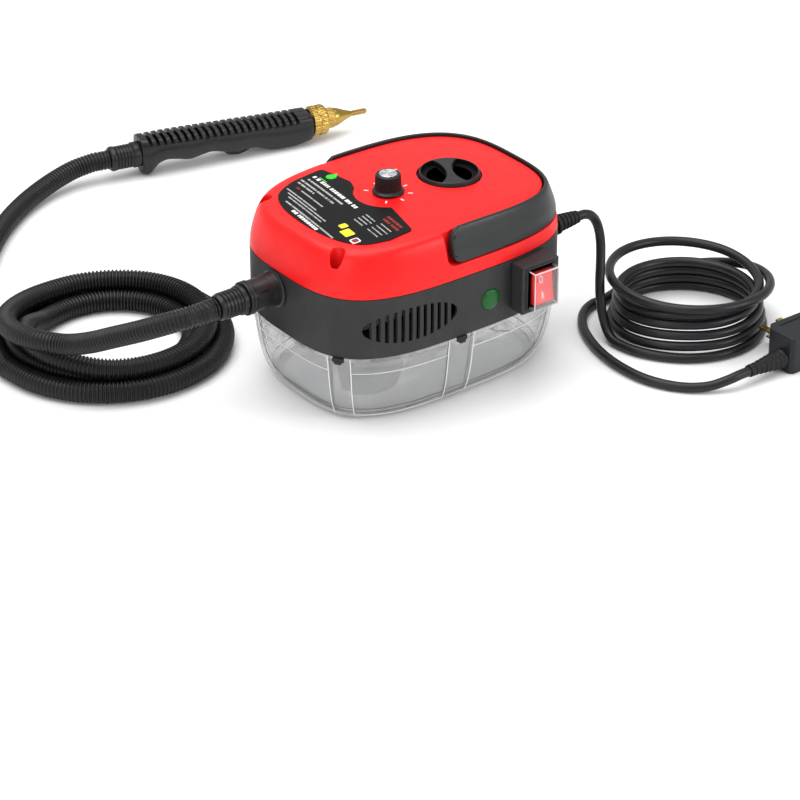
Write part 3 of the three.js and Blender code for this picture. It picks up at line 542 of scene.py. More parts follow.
def channel(inset, floor, end):
    """Everything outside an inner wall and above a floor, right of an end: the handle's channel."""
    angles = sorted(even_angles(160), key=lambda a: (a + math.pi) % (2 * math.pi))
    wall = [footprint(a, inset) for a in angles]
    wall = [p for p in wall if p[0] > end]
    start = [(end, wall[0][1] - 0.05), *wall, (end, wall[-1][1] + 0.05)]
    space = prism([*start, (end, 130), (160, 130), (160, -130), (end, -130)], floor, 200)
    return combine(space, "DIFFERENCE", end_corner(end, floor, RECESS_FILLET, 1))


def end_corner(end, level, radius, up):
    """The sliver outside a fillet at the left end of the handle or of its channel. up is 1 where the
    corner is at the bottom and -1 where it is at the top."""
    low, high = sorted((level - up, level + up * radius))
    corner = box((end - 1, -140, low), (end + radius, 140, high))
    centre = (end + radius, 0, level + up * radius)
    return combine(corner, "DIFFERENCE", bar(radius, -150, 150, axis="y", centre=centre, sides=24))


# ------------------------------------------------------------------ cords
HOSE_COIL = Vector((-188, 166, 0))
CORD_COIL = Vector((230, -102, 0))
HOSE_LEAD = [
    (-183.3, 10.6, 102.6), (-188, 10.6, 102.6), (-193, 10.6, 102.6), (-205, 14, 100.5), (-219, 26, 94),
    (-233, 46, 83), (-244, 69, 71), (-254, 93, 58.5), (-263, 116, 49.5),
]
HOSE_TAIL = [
    (-263, 254, 9.6), (-247, 290, 9.6), (-222, 330, 9.6), (-191, 368, 9.6), (-156, 403, 9.6),
    (-120, 430, 10), (-84, 446.5, 13), (-51, 452.5, 18), (-28.3, 450.3, 21), (-20.4, 448.6, 21),
    (-12.6, 446.9, 21),
]
CORD_LEAD = [
    (150.3, -46, 107), (154, -46, 107), (158, -46, 106.7), (165.5, -45.5, 103.4), (171.3, -45.5, 96.5),
    (174.6, -46.5, 87), (174.8, -49, 76), (172.4, -52.5, 66), (169, -56.5, 56), (165.4, -60.5, 46),
    (162, -65.5, 35), (159.2, -71.5, 24), (157, -79.5, 13.5), (155.6, -88, 6.6), (155.3, -97, 4.6),
]
CORD_TAIL = [
    (199, -29.5, 4.6), (184, -30, 4.6), (168, -38, 4.6), (153, -54, 4.6), (142, -75, 4.6), (134, -100, 4.6),
    (130.5, -126, 4.6), (132, -152, 4.6), (139, -173, 4.6), (151, -190, 4.6), (166, -202, 6),
    (181, -209, 10), (192, -211, 12), (197, -211, 12), (201.7, -211, 12),
]
# The coils' turns as (angle in degrees, radius, height). The hose runs clockwise seen from above: its
# first turn lies in the groove between the inner and the outer turn on the floor.
HOSE_TURNS = [
    (200, 90.5, 47.4), (185, 91, 44.5), (150, 89, 34), (120, 84.5, 26.8), (90, 81.8, 23), (0, 81.5, 22.8),
    (-90, 82, 22.8), (-125, 82, 24), (-155, 81, 27.7), (-180, 77.5, 28.2), (-210, 72, 23.8),
    (-225, 69.6, 17.5), (-240, 68.6, 11.4), (-258, 68, 9.6), (-300, 68, 9.6), (-360, 68, 9.6),
    (-450, 68, 9.6), (-490, 68.4, 9.6), (-530, 73, 9.6), (-560, 82, 9.6), (-600, 92, 9.6),
    (-640, 95.4, 9.6), (-720, 95.6, 9.6), (-810, 95.4, 9.6), (-860, 95.6, 9.6), (-890, 97, 9.6),
    (-912, 99.4, 9.6),
]
# The cord runs the other way, climbs a stack of turns, and its last loop leans out and comes down
# outside the stack.
CORD_TURNS = [
    (188, 73, 4.6), (215, 69, 4.6), (270, 66.4, 4.6), (360, 66.4, 4.6), (450, 66.2, 4.6), (520, 64, 6.6),
    (585, 62.6, 12.8), (630, 63.4, 13.2), (720, 65, 13.2), (810, 64.4, 13.2), (880, 61, 15.2),
    (940, 60, 21.6), (990, 60.6, 21.8), (1080, 63.4, 21.8), (1170, 63.4, 21.8), (1240, 59.4, 24.4),
    (1300, 57, 30.2), (1350, 57, 30.4), (1440, 60, 30.4), (1530, 61, 30.8), (1600, 58, 33.2),
    (1660, 55.4, 38.8), (1710, 56, 39), (1780, 64, 39.6), (1830, 71, 43), (1890, 73, 46.5),
    (1935, 68, 47.6), (1990, 61, 47.4), (2050, 62, 47), (2105, 69, 44), (2155, 74.6, 35),
    (2200, 77.4, 21.5), (2232, 79, 10), (2252, 79.4, 5.2),
]


def turns_route(centre, turns, step=9):
    """Points of a coil: radius and height run smoothly from one stated angle to the next."""
    route = []
    for i in range(len(turns) - 1):
        before, start = Vector(turns[max(i - 1, 0)]), Vector(turns[i])
        end, after = Vector(turns[i + 1]), Vector(turns[min(i + 2, len(turns) - 1)])
        slope_in = (end - before) / (end.x - before.x) * (end.x - start.x)
        slope_out = (after - start) / (after.x - start.x) * (end.x - start.x)
        count = max(1, round(abs(end.x - start.x) / step))
        for k in range(count):
            t = k / count
            at = curve_at(start, end, slope_in, slope_out, t)
            angle = math.radians(start.x + (end.x - start.x) * t)
            route.append(centre + Vector((at.y * math.cos(angle), at.y * math.sin(angle), at.z)))
    last = turns[-1]
    angle = math.radians(last[0])
    return [*route, centre + Vector((last[1] * math.cos(angle), last[1] * math.sin(angle), last[2]))]


def even_line(points, spacing):
    """The same line with its points a spacing apart."""
    line = smooth_line(points, 12)
    result, travelled = [line[0]], 0.0
    total = sum((b - a).length for a, b in zip(line, line[1:], strict=False))
    pitch = total / round(total / spacing)
    for a, b in zip(line, line[1:], strict=False):
        length = (b - a).length
        while travelled + length >= pitch * len(result) - 1e-6:
            share = (pitch * len(result) - travelled) / max(length, 1e-9)
            result.append(a.lerp(b, min(share, 1.0)))
        travelled += length
    return result


def swept(name, line, radii, sides):
    """A tube along a line of points: each point gets one ring for each (share of a step, radius)."""
    points, faces = [], []
    forward = (line[1] - line[0]).normalized()
    side = forward.orthogonal().normalized()
    rings = 0
    for i, here in enumerate(line):
        ahead = line[min(i + 1, len(line) - 1)] - line[max(i - 1, 0)]
        turn = forward.rotation_difference(ahead.normalized())
        forward = ahead.normalized()
        side = (turn @ side).normalized()
        up = forward.cross(side)
        step = (line[min(i + 1, len(line) - 1)] - here)
        for share, radius in radii if i < len(line) - 1 else radii[:1]:
            centre = here + step * share
            for j in range(sides):
                angle = 2 * math.pi * j / sides
                points.append(centre + (side * math.cos(angle) + up * math.sin(angle)) * radius)
            rings += 1
    faces = rings_to_faces(rings, sides, False)
    faces.append(tuple(range(sides))[::-1])
    faces.append(tuple(range((rings - 1) * sides, rings * sides)))
    return new_piece(name, points, faces)


RIB_PITCH = 3.3
hose_line = even_line([*HOSE_LEAD, *turns_route(HOSE_COIL, HOSE_TURNS), *HOSE_TAIL], RIB_PITCH)
rib = [(0, HOSE_RADIUS - 1.5), (0.22, HOSE_RADIUS - 1.35), (0.38, HOSE_RADIUS - 0.2), (0.52, HOSE_RADIUS),
       (0.72, HOSE_RADIUS - 0.05), (0.86, HOSE_RADIUS - 1.2)]
steam_hose = swept("steam_hose", hose_line, rib, 20)
finished(steam_hose, "hose", "base", sharp=60,
         nodes=("steam_hose_lead", "steam_hose_coil", "steam_hose_tail"))

cord_line = even_line([*CORD_LEAD, *turns_route(CORD_COIL, CORD_TURNS), *CORD_TAIL], 3.5)
mains_cord = swept("mains_cord", cord_line, [(0, CORD_RADIUS)], 16)
finished(mains_cord, "cord", "base", sharp=60,
         nodes=("mains_cord_lead", "mains_cord_coil", "mains_cord_tail"))


# ------------------------------------------------------------------ body shells
TO_XZ = Matrix(((1, 0, 0, 0), (0, 0, 1, 0), (0, 1, 0, 0), (0, 0, 0, 1)))
TO_ZY = Matrix(((0, 0, 1, 0), (0, 1, 0, 0), (1, 0, 0, 0), (0, 0, 0, 1)))
ON_SOCKET = {"axis": "x", "centre": (0, SOCKET.y, SOCKET.z), "sides": 64}
ON_GLAND = {"axis": "x", "centre": (0, GLAND.y, GLAND.z), "sides": 48}
ON_LAMP = {"axis": "y", "centre": (LAMP.x, 0, LAMP.z), "sides": 64}
ON_HINGE = {"axis": "y", "centre": (HANDLE_PIVOT.x, 0, HANDLE_PIVOT.z), "sides": 64}
ON_KNOB = {"centre": KNOB, "sides": 72}


def top_cover():
    cover = cover_form(0)
    hollow = cover_form(WALL)
    combine(hollow, "DIFFERENCE", channel(RECESS_INSET + WALL, RECESS_FLOOR - WALL, RECESS_END - WALL))
    for x, y, _, well in SCREWS:
        combine(hollow, "DIFFERENCE", bar(well + 2, 100, 190, centre=(x, y, 0), sides=40))
    combine(cover, "DIFFERENCE", hollow, channel(RECESS_INSET, RECESS_FLOOR, RECESS_END))
    for x, y, seat, well in SCREWS:
        combine(cover, "DIFFERENCE", bar(well, seat, 190, centre=(x, y, 0), sides=40))
    round_edges(cover, 0.7, steps=3)
    for x, y, _, _ in SCREWS:
        combine(cover, "DIFFERENCE", bar(2.1, 100, 150, centre=(x, y, 0), sides=20))
    combine(cover, "DIFFERENCE", bar(3.3, 70, 100, **ON_HINGE), bar(3.3, -100, -70, **ON_HINGE))
    combine(cover, "DIFFERENCE", bar(27.6, 140, 190, centre=CAP, sides=96), bar(3.6, 140, 190, **ON_KNOB))
    finished(cover, "red", "base", nodes=("top_cover",))


def vent_outline(x):
    """A slot of the vent, whose ends follow the vent's elliptical outline."""
    last = (VENT["slots"] - 1) / 2 * VENT["pitch"]
    left, right = x - VENT["width"] / 2, x + VENT["width"] / 2
    if abs(x) > last - 1:
        left, right = (-VENT["half_length"], right) if x < 0 else (left, VENT["half_length"])
    steps = [left + (right - left) * i / 8 for i in range(9)]

    def rise(along):
        return VENT["half_height"] * math.sqrt(max(0.0, 1 - (along / VENT["half_length"]) ** 2)) + 0.05

    upper = [(VENT["x"] + a, VENT["z"] + rise(a)) for a in steps]
    lower = [(VENT["x"] + a, VENT["z"] - rise(a)) for a in reversed(steps)]
    return upper + lower


def mid_housing():
    top = COVER_SEAM - GAP
    ring = [
        (1.2, TANK_TOP), (0.75, 71), (0.35, 77), (0, 84), (0, top), (WALL, top), (WALL, 84),
        (WALL + 1.2, TANK_TOP), (1.2, TANK_TOP),
    ]
    housing = shell_form(ring)
    for i in range(VENT["slots"]):
        outline = vent_outline((i - (VENT["slots"] - 1) / 2) * VENT["pitch"])
        combine(housing, "DIFFERENCE", prism(outline, FRONT - 5, -60, matrix=TO_XZ))
    combine(housing, "DIFFERENCE", bar(LAMP_RADIUS + GAP, FRONT - 5, FRONT + 20, **ON_LAMP))
    near = (SWITCH["left"] + 2.7, -130, SWITCH["bottom"] + 2.7)
    far = (SWITCH["right"] - 2.7, -60, SWITCH["top"] - 2.7)
    combine(housing, "DIFFERENCE", box(near, far))
    combine(housing, "DIFFERENCE", bar(11.8, -140, -110, **ON_SOCKET), bar(7.3, 100, 140, **ON_GLAND))
    finished(housing, "housing", "base", nodes=("mid_housing",))


# The tank's pilasters as pairs of places on its plan. The middle ones are on the long sides.
PILASTERS = [((-25, -1), (2, -1)), ((-119.3, -52), (-108.5, -70)), ((104.5, -73), (118, -55))]
TANK_STEP = 50


def plan_angle(x, y):
    """The footprint's angle at a place on it. y is a side, -1 or 1, where only x matters."""
    across = y / AXIS
    if abs(y) == 1:
        across = y * (1 - abs(x / (BODY_LENGTH / 2)) ** CORNER_POWER) ** (1 / CORNER_POWER)
    return math.atan2(across, x / (BODY_LENGTH / 2)) % (2 * math.pi)


def pilaster_ranges():
    ranges = []
    for start, end in PILASTERS:
        for side in (1, -1):
            pair = sorted(plan_angle(x, y * side) for x, y in (start, end))
            ranges.append(tuple(pair))
    return ranges


def tank_angles():
    edge = 0.006
    extra = [a + d for pair in pilaster_ranges() for a in pair for d in (-edge, edge)]
    plain = [a for a in even_angles(150) if all(abs(a - e) > 0.012 for e in extra)]
    return sorted(plain + extra)


def tank_relief(angle, z):
    """How far the tank's outer face steps in from its pilasters and its upper band."""
    if any(low < angle < high for low, high in pilaster_ranges()):
        return -0.9
    return 0.0 if z > TANK_STEP else 0.5


TANK_SIDE = [
    (24, 0), (20, 0.3), (17, 1.6), (14, 5), (11.6, 9.6), (9.4, 15.5), (7.4, 23), (5.4, 33),
    (3.2, TANK_STEP - 0.4), (3.1, TANK_STEP + 0.4), (2, 58), (1.2, 62), (1.2, TANK_TOP - 0.4),
]
TANK_INSIDE = [
    (7.2, TANK_TOP - 0.4), (7.2, TANK_TOP - 3), (4.4, TANK_TOP - 5), (5.6, 52), (8, 34), (10, 25), (12, 18.5),
    (14.2, 13), (16.8, 8.6), (20, 5.2), (24, 3.3), (30, 3),
]


def water_tank():
    outer = shell_form([*TANK_SIDE, (7.2, TANK_TOP - 0.4)], angles=tank_angles(), offset=tank_relief)
    inner = shell_form([(7.2, TANK_TOP + 1), *TANK_INSIDE])
    combine(outer, "DIFFERENCE", inner)
    finished(outer, "tank", "base", sharp=50, nodes=("water_tank",))


def tank_painted_highlights():
    """Painted highlight lines along the pilasters' edges, under the upper band and round the tank's foot,
    and painted lines of shade beside the pilasters and round the tank's floor, for the light and shade that
    the thick clear wall shows."""
    side = smooth_line(TANK_SIDE[1:], 3)
    bright_strokes, shadows = [], []
    ranges = pilaster_ranges()
    for pair in ranges:
        for angle, lean in zip(pair, (0.004, -0.004), strict=True):
            # A painted highlight along each pilaster edge and a painted line of shade beside it.
            line = [Vector((*footprint(angle + lean, p.x - 0.75), p.y + 0.2)) for p in side if p.y > 1]
            bright_strokes.append(swept("painted_highlight_stroke", line, [(0, 0.42)], 8))
            line = [Vector((*footprint(angle + lean * 3, p.x + 2.2), p.y + 0.2)) for p in side if p.y > 3]
            shadows.append(swept("shadow", line, [(0, 0.35)], 8))
    # Painted highlight lines under the upper band, between the pilasters.
    gaps = sorted(ranges)
    for (_, start), (end, _) in zip(gaps, [*gaps[1:], (gaps[0][0] + 2 * math.pi, 0)], strict=True):
        line = []
        for i in range(41):
            angle = start + (end - start) * i / 40
            line.append(Vector((*footprint(angle, 3.3), TANK_STEP)))
        bright_strokes.append(swept("painted_highlight_stroke", line, [(0, 0.3)], 8))
    # Round the foot: one painted highlight line and two painted lines of shade.
    rims = ((bright_strokes, 14.2, 4.6, 0.35), (shadows, 15, 9.5, 0.5), (shadows, 18.4, 4.4, 0.4))
    for lines, inset, z, radius in rims:
        rim = [Vector((*footprint(a, inset), z)) for a in even_angles(160)]
        lines.append(swept("rim", [*rim, rim[0]], [(0, radius)], 8))
    finished(join("tank_painted_highlights", *bright_strokes), "tank_edge", "base", sharp=60)
    finished(join("tank_shadows", *shadows), "tank_shadow", "base", sharp=60)


def tank_clips():
    """Small latches that hold the tank to the housing over its pilasters."""
    clips = []
    for low, high in pilaster_ranges():
        angle = (low + high) / 2
        x, y = footprint(angle, 0.4)
        near, far = footprint(angle - 0.01, 0.4), footprint(angle + 0.01, 0.4)
        heading = math.atan2(far[1] - near[1], far[0] - near[0])
        place = Matrix.Translation((x, y, 0)) @ Matrix.Rotation(heading, 4, "Z")
        clips.append(box((-5, -0.9, 61.2), (5, 1.6, 64.9), matrix=place))
        clips.append(box((-3, -1.4, 59.4), (3, 0.6, 62.4), matrix=place))
    finished(join("tank_clips", *clips), "black", "base", round_mm=0.3)


def carry_handle():
    top = COVER_TOP + HANDLE_RISE
    side = [
        (1.9, 118), (1.7, 130), (1.6, 138), (2.3, 143), (3.5, 148), (5, 153), (6.5, 158), (7.6, 161),
        (8.8, top - 1.4), (RECESS_INSET - 1.4, top - 0.95),
    ]
    ring = [*((p.x, p.y) for p in smooth_line(side, 2)), (RECESS_INSET - 1.4, 118), side[0]]
    handle = shell_form(ring, bend=crowned)
    low, high = RECESS_FLOOR + 0.6, top - 1
    combine(handle, "INTERSECT", box((HANDLE_END, -130, low), (200, 130, 200)))
    combine(handle, "DIFFERENCE", end_corner(HANDLE_END, low, HANDLE_FILLETS["lower"], 1))
    combine(handle, "DIFFERENCE", end_corner(HANDLE_END, high, HANDLE_FILLETS["upper"], -1))
    combine(handle, "DIFFERENCE", bar(3.3, -87.3, 87.3, **ON_HINGE))
    finished(handle, "handle", "handle", round_mm=1.2, steps=3, nodes=("carry_handle",))


top_cover()
mid_housing()
water_tank()
tank_painted_highlights()
tank_clips()
carry_handle()


# ------------------------------------------------------------------ label and dial print
def arc(centre, radius, start, end, count):
    """Points of an arc, angles in degrees."""
    angles = [math.radians(start + (end - start) * i / (count - 1)) for i in range(count)]
    return [(centre.x + radius * math.cos(a), centre.y + radius * math.sin(a)) for a in angles]


def label_plate():
    left = [
        (-66, -67.5), (-86, -60), (-97.5, -43), (-102.5, -18), (-102.5, 12), (-98, 38), (-87, 57), (-66, 67),
    ]
    curve = [(p.x, p.y) for p in smooth_line([(*p, 0) for p in left], 5)]
    outline = rounded([(-42, -66), *curve, (-34, 70), (-30, 34), *arc(KNOB, 29, 128, 238, 19)], 4, 6)
    plate = combine(cover_form(-0.8), "INTERSECT", prism(outline, 140, 180))
    combine(plate, "DIFFERENCE", cover_form(-GAP))
    finished(plate, "label", "base", round_mm=0.2, nodes=("label_plate",))


# The label's rows run along ROW. The print lies PRINT_LIFT above the cover.
PRINT_LIFT = 0.72
ROW = Vector((-0.11, -0.994)).normalized()
ACROSS = Vector((ROW.y, -ROW.x))


def mark(corners, lift):
    """A thin raised mark on the crown: its plan corners, lifted over the cover."""
    count = len(corners)
    points = [(x, y, cover_height(x, y) + lift + rise) for rise in (0, 0.16) for x, y in corners]
    faces = [tuple(range(count)), tuple(range(count, 2 * count))]
    faces += [(i, (i + 1) % count, count + (i + 1) % count, count + i) for i in range(count)]
    return new_piece("mark", points, faces)


def oblong(start, along, height):
    """Corners of a bar in a printed row: start is the middle of its first edge."""
    start = Vector(start)
    end = start + ROW * along
    return [tuple(p) for p in (start - ACROSS * height / 2, end - ACROSS * height / 2,
                               end + ACROSS * height / 2, start + ACROSS * height / 2)]


def dashes(x, y, length, height, dice):
    """A row of dashes of uneven length."""
    place, bars = 0.0, []
    while place < length - height:
        along = min(height * dice.uniform(0.55, 1.5), length - place)
        bars.append(mark(oblong(Vector((x, y)) + ROW * place, along, height), PRINT_LIFT))
        place += along + height * (0.85 if dice.random() < 0.16 else 0.28)
    return bars


WHITE_ROWS = [(-47.5, 62, 74, 3.4), (-96.5, 24, 42, 3)]
GREY_ROWS = [
    (-54, 61, 57, 1.9), (-59, 64, 56, 1.9), (-63.5, 62, 29, 1.9), (-71, 47, 35, 1.3), (-77, 59, 50, 1.3),
    (-81, 52, 62, 1.3), (-85, 46, 55, 1.3), (-91, 41, 78, 1.6),
    *[(x, -22, 15, 1.1) for x in (-56, -60, -64, -68)],
    *[(x, -42, 17, 1.1) for x in (-56, -60.5, -65, -69.5)],
]
RED_ROWS = [(-70, 55, 7, 2), (-44.5, -36, 25, 2.6), (-49.5, -37, 24, 2.6)]


def label_print():
    dice = random.Random(7)
    for name, look, rows in (
        ("print_white", "ink_white", WHITE_ROWS), ("print_grey", "ink_grey", GREY_ROWS),
        ("print_red", "ink_red", RED_ROWS),
    ):
        bars = [bar_mark for row in rows for bar_mark in dashes(*row, dice)]
        finished(join(name, *bars), look, "base")
    small, large = rounded(oblong((-81, -22), 6.5, 7), 1.5), rounded(oblong((-85, -31), 11, 9), 1)
    tiles = [mark(small, PRINT_LIFT), mark(large, PRINT_LIFT)]
    finished(join("print_yellow", *tiles), "ink_yellow", "base")
    tile = mark(rounded(oblong((-88, -47), 7.5, 8), 2), PRINT_LIFT)
    finished(join("print_tile", tile), "ink_white", "base")
    frame_mark = mark(rounded(oblong((-88, -48.2), 5.1, 5.2), 1.4), 0.8)
    finished(join("print_tile_middle", frame_mark), "ink_red", "base")
    drop = [(-37 + 4.6 * math.cos(a), 52 + 4.6 * math.sin(a)) for a in
            (math.radians(40 + 20 * i) for i in range(15))]
    wave = [mark([*drop, (-29.5, 53.5)], PRINT_LIFT), mark(oblong((-45, 57), 11, 1.1), PRINT_LIFT)]
    finished(join("print_green", *wave), "ink_green", "base")


def dial_ticks():
    ticks = []
    for degrees in (132, 88, 44, 3, -44, -88, -132):
        a = math.radians(degrees)
        out, side = Vector((math.cos(a), math.sin(a))), Vector((-math.sin(a), math.cos(a)))
        middle = Vector((KNOB.x, KNOB.y))
        ends = ((16.6, -0.7), (20.4, -0.7), (20.4, 0.7), (16.6, 0.7))
        corners = [middle + out * r + side * w for r, w in ends]
        ticks.append(mark([tuple(c) for c in corners], -0.04))
    finished(join("dial_ticks", *ticks), "ink_white", "base")


label_plate()
label_print()
dial_ticks()


# ------------------------------------------------------------------ knob and cap
DIAL_Z = crowned(KNOB.x, KNOB.y, COVER_TOP)
KNOB_FOOT = DIAL_Z + 0.6
KNOB_TOP = KNOB_FOOT + 16.5


def knob_flutes(angle, along):
    """Thirty-six fine flutes on the knob's body, between its skirt and its top edge."""
    if not KNOB_FOOT + 2.8 < along < KNOB_TOP - 0.9:
        return 0
    return -0.55 * (0.5 - 0.5 * math.cos(36 * angle)) ** 2


def steam_knob():
    profile = [
        (3.3, KNOB_FOOT), (12.9, KNOB_FOOT), (13.3, KNOB_FOOT + 0.4), (13.3, KNOB_FOOT + 1.2),
        (12.9, KNOB_FOOT + 1.7), (12, KNOB_FOOT + 2.1), (11.4, KNOB_FOOT + 2.7), (11.2, KNOB_FOOT + 3.2),
        (10.9, KNOB_FOOT + 9), (10.6, KNOB_TOP - 1.5), (10.4, KNOB_TOP - 0.8), (9.9, KNOB_TOP - 0.2),
        (9.4, KNOB_TOP), (8.3, KNOB_TOP), (8, KNOB_TOP - 0.3), (8, KNOB_TOP - 0.9), (3.3, KNOB_TOP - 0.9),
        (3.3, KNOB_FOOT),
    ]
    knob = turned(profile, flute=knob_flutes, centre=KNOB, sides=288)
    finished(knob, "black", "steam_control", sharp=50, nodes=("steam_knob",))
    face = KNOB_TOP + 0.4
    insert = turned([(7.7, KNOB_TOP - 0.6), (7.7, face - 0.2), (7.45, face), (0.4, face)], **ON_KNOB)
    finished(insert, "disc", "steam_control", nodes=("knob_insert",))
    turn = Matrix.Translation(KNOB) @ Matrix.Rotation(math.radians(8), 4, "Z")
    top = box((6.9, -0.45, KNOB_TOP + 0.3), (10, 0.45, KNOB_TOP + 0.55), matrix=turn)
    flank = box((10.2, -0.45, KNOB_FOOT + 9), (11, 0.45, KNOB_TOP - 0.7), matrix=turn)
    finished(join("knob_pointer", top, flank), "ink_white", "steam_control", round_mm=0.1)


def pocket_outline(radius, bite, shift=37):
    """Where a circle round the cap's axis and a circle beside it overlap."""
    x = (radius**2 - bite**2 + shift**2) / (2 * shift)
    y = math.sqrt(radius**2 - x**2)
    near, far = math.degrees(math.atan2(y, x)), math.degrees(math.atan2(y, shift - x))
    outer = arc(Vector((0, 0)), radius, -near, near, 33)
    inner = arc(Vector((shift, 0)), bite, 180 - far, 180 + far, 33)
    return outer + inner[1:-1]


def filler_cap():
    place = Matrix.Translation(CAP) @ Matrix.Rotation(math.radians(CAP_BAR_ANGLE + 90), 4, "Z")
    base = CAP_SEAT + GAP
    cap = turned([
        (0.5, 146), (18.8, 146), (19.8, 147), (19.8, base), (25.7, base), (26, base + 0.3),
        (25.9, base + 1.6),
        (25.5, CAP_TOP - 1.3), (25.1, CAP_TOP - 0.5), (24.5, CAP_TOP - 0.1), (23.9, CAP_TOP), (0.5, CAP_TOP),
    ], sides=128, matrix=place)
    for side in (0, math.pi):
        turn = place @ Matrix.Rotation(side, 4, "Z")
        for radius, bite, floor in ((24, 34, base + 0.7), (18.6, 33.4, 149)):
            combine(cap, "DIFFERENCE", prism(pocket_outline(radius, bite), floor, 170, matrix=turn))
    finished(cap, "cap", "cap", round_mm=0.5, steps=3, nodes=("filler_cap",))
    # The pockets' walls and floors get that near-black look: painted shade.
    cap.data.materials.append(looks["painted_pocket_shade"])
    for face in cap.data.polygons:
        reach = math.hypot(face.center.x / MM - CAP.x, face.center.y / MM - CAP.y)
        if face.center.z / MM < CAP_TOP - 0.6 and reach < 24.2:
            face.material_index = 1
    rim = turned([(24.2, CAP_SEAT + 0.2), (27.2, CAP_SEAT + 0.2), (27.2, CAP_SEAT - 4), (24.2, CAP_SEAT - 4),
                  (24.2, CAP_SEAT + 0.2)], centre=CAP, sides=96, name="neck_rim")
    finished(rim, "black", "base", round_mm=0.3)


steam_knob()
filler_cap()


# ------------------------------------------------------------------ lamp, switch, socket and gland
def indicator_lens():
    profile = [(LAMP_RADIUS, FRONT + 3), (LAMP_RADIUS, FRONT - 0.1), (LAMP_RADIUS - 0.5, FRONT - 0.7)]
    for i in range(9):
        radius = (LAMP_RADIUS - 1.1) * (1 - i / 8) + 0.2
        bulge = math.sqrt(max(0.0, 1 - (radius / (LAMP_RADIUS - 0.8)) ** 2))
        profile.append((radius, FRONT - 0.9 - 1.4 * bulge))

    def facets(angle, along):
        return 0.22 * math.cos(24 * angle) if along > FRONT - 1.7 and along < FRONT - 0.8 else 0

    lens = turned(profile, flute=facets, axis="y", centre=ON_LAMP["centre"], sides=144)
    finished(lens, "lens", "base", sharp=50, nodes=("indicator_lens",))


def switch_frame():
    left, right, bottom, top = (SWITCH[k] for k in ("left", "right", "bottom", "top"))
    window = ((BOOT["left"] + 1.5, -130, BOOT["bottom"] + 2), (BOOT["right"] - 1.5, -60, BOOT["top"] - 2))
    block = box((left, SWITCH["front"], bottom), (right, -70, top))
    combine(block, "DIFFERENCE", shell_slab(-GAP, 60, 130), box(*window))
    lip = combine(
        box((BOOT["left"] - 2.2, SWITCH["front"] - 1.1, BOOT["bottom"] - 2.2),
            (BOOT["right"] + 2.2, SWITCH["front"] + 0.4, BOOT["top"] + 2.2)),
        "DIFFERENCE",
        box((BOOT["left"] - 0.2, -130, BOOT["bottom"] - 0.2), (BOOT["right"] + 0.2, -60, BOOT["top"] + 0.2)),
    )
    collar = combine(box((left + 3, -100, bottom + 3), (right - 3, -80, top - 3)), "DIFFERENCE", box(*window))
    frame_piece = join("switch_frame_block", block, lip, collar)
    finished(frame_piece, "housing", "base", round_mm=1.1, steps=3, nodes=("switch_frame",))


def switch_boot():
    left, right, bottom, top, wall = (BOOT[k] for k in ("left", "right", "bottom", "top", "wall"))
    back = SWITCH["front"] - GAP
    face = back - BOOT["depth"]
    boot = box((left, face, bottom), (right, back, top))
    hollow = box((left + wall, face + wall, bottom + wall), (right - wall, back + 2, top - wall))
    combine(boot, "DIFFERENCE", hollow)
    # The boot's rounded edges get a whitish look: a painted highlight for the light its clear edges catch.
    finished(boot, "boot", "base", round_mm=0.45, edge_highlight_look="edge", nodes=("switch_boot",))


def rocker():
    """The rocker in three pieces: its body, and the plain O and I on its two faces."""
    left, right = BOOT["left"] + 2.7, BOOT["right"] - 2.7
    middle, face = (BOOT["bottom"] + BOOT["top"]) / 2, SWITCH["front"] - 4.4
    low, high = middle - 13.8, middle + 13.8
    curve = [
        (low, face - 1.8), (low + 4, face - 1.3), (middle - 4, face - 0.1), (middle, face + 0.5),
        (middle + 5, face + 0.8), (high, face + 1.2), (high - 1, -101), (low + 1, -101),
    ]
    body = prism(curve, left, right, matrix=TO_ZY)
    finished(body, "rocker", "rocker", round_mm=0.8, steps=3, nodes=("power_rocker",))
    ring = []
    for radius in (3.3, 2.4):
        ring.append([(radius * 0.62 * math.cos(a), radius * math.sin(a)) for a in
                     (2 * math.pi * i / 32 for i in range(32))])
    place = Matrix.Translation((55.6, face + 0.78, middle + 8)) @ Matrix.Rotation(math.radians(-2.5), 4, "X")
    outer = prism(ring[0], -0.2, 0.2, matrix=place @ TO_XZ)
    inner = prism(ring[1], -1.2, 1.2, matrix=place @ TO_XZ)
    letter_o = combine(outer, "DIFFERENCE", inner)
    tilt = Matrix.Rotation(math.radians(-8.5), 4, "X")
    place = Matrix.Translation((56.6, face - 0.72, middle - 6.5)) @ tilt
    letter_i = box((-0.5, -0.2, -3), (0.5, 0.3, 3), matrix=place)
    finished(join("rocker_marks", letter_o, letter_i), "ink_white", "rocker")


def rings(start, end, pitch, low, high, share=0.55):
    """A profile of square rings between two places along an axis."""
    step = math.copysign(pitch, end - start)
    profile = []
    for i in range(round(abs(end - start) / pitch)):
        at = start + step * i
        for along, radius in ((0.08, low), (0.2, high), (0.2 + share * 0.8, high), (0.32 + share * 0.8, low)):
            profile.append((radius, at + step * along))
    return profile


def rings_growing(start, end, count, low, high):
    """A profile of rounded rings whose radius grows along the axis."""
    profile = []
    pitch = (end - start) / count
    for i in range(count):
        radius = low + (high - low) * i / (count - 1)
        for along, lean in ((0.05, -0.9), (0.25, -0.9), (0.34, 0), (0.5, 0.15), (0.9, 0), (0.98, -0.6)):
            profile.append((radius + lean, start + pitch * (i + along)))
    return profile


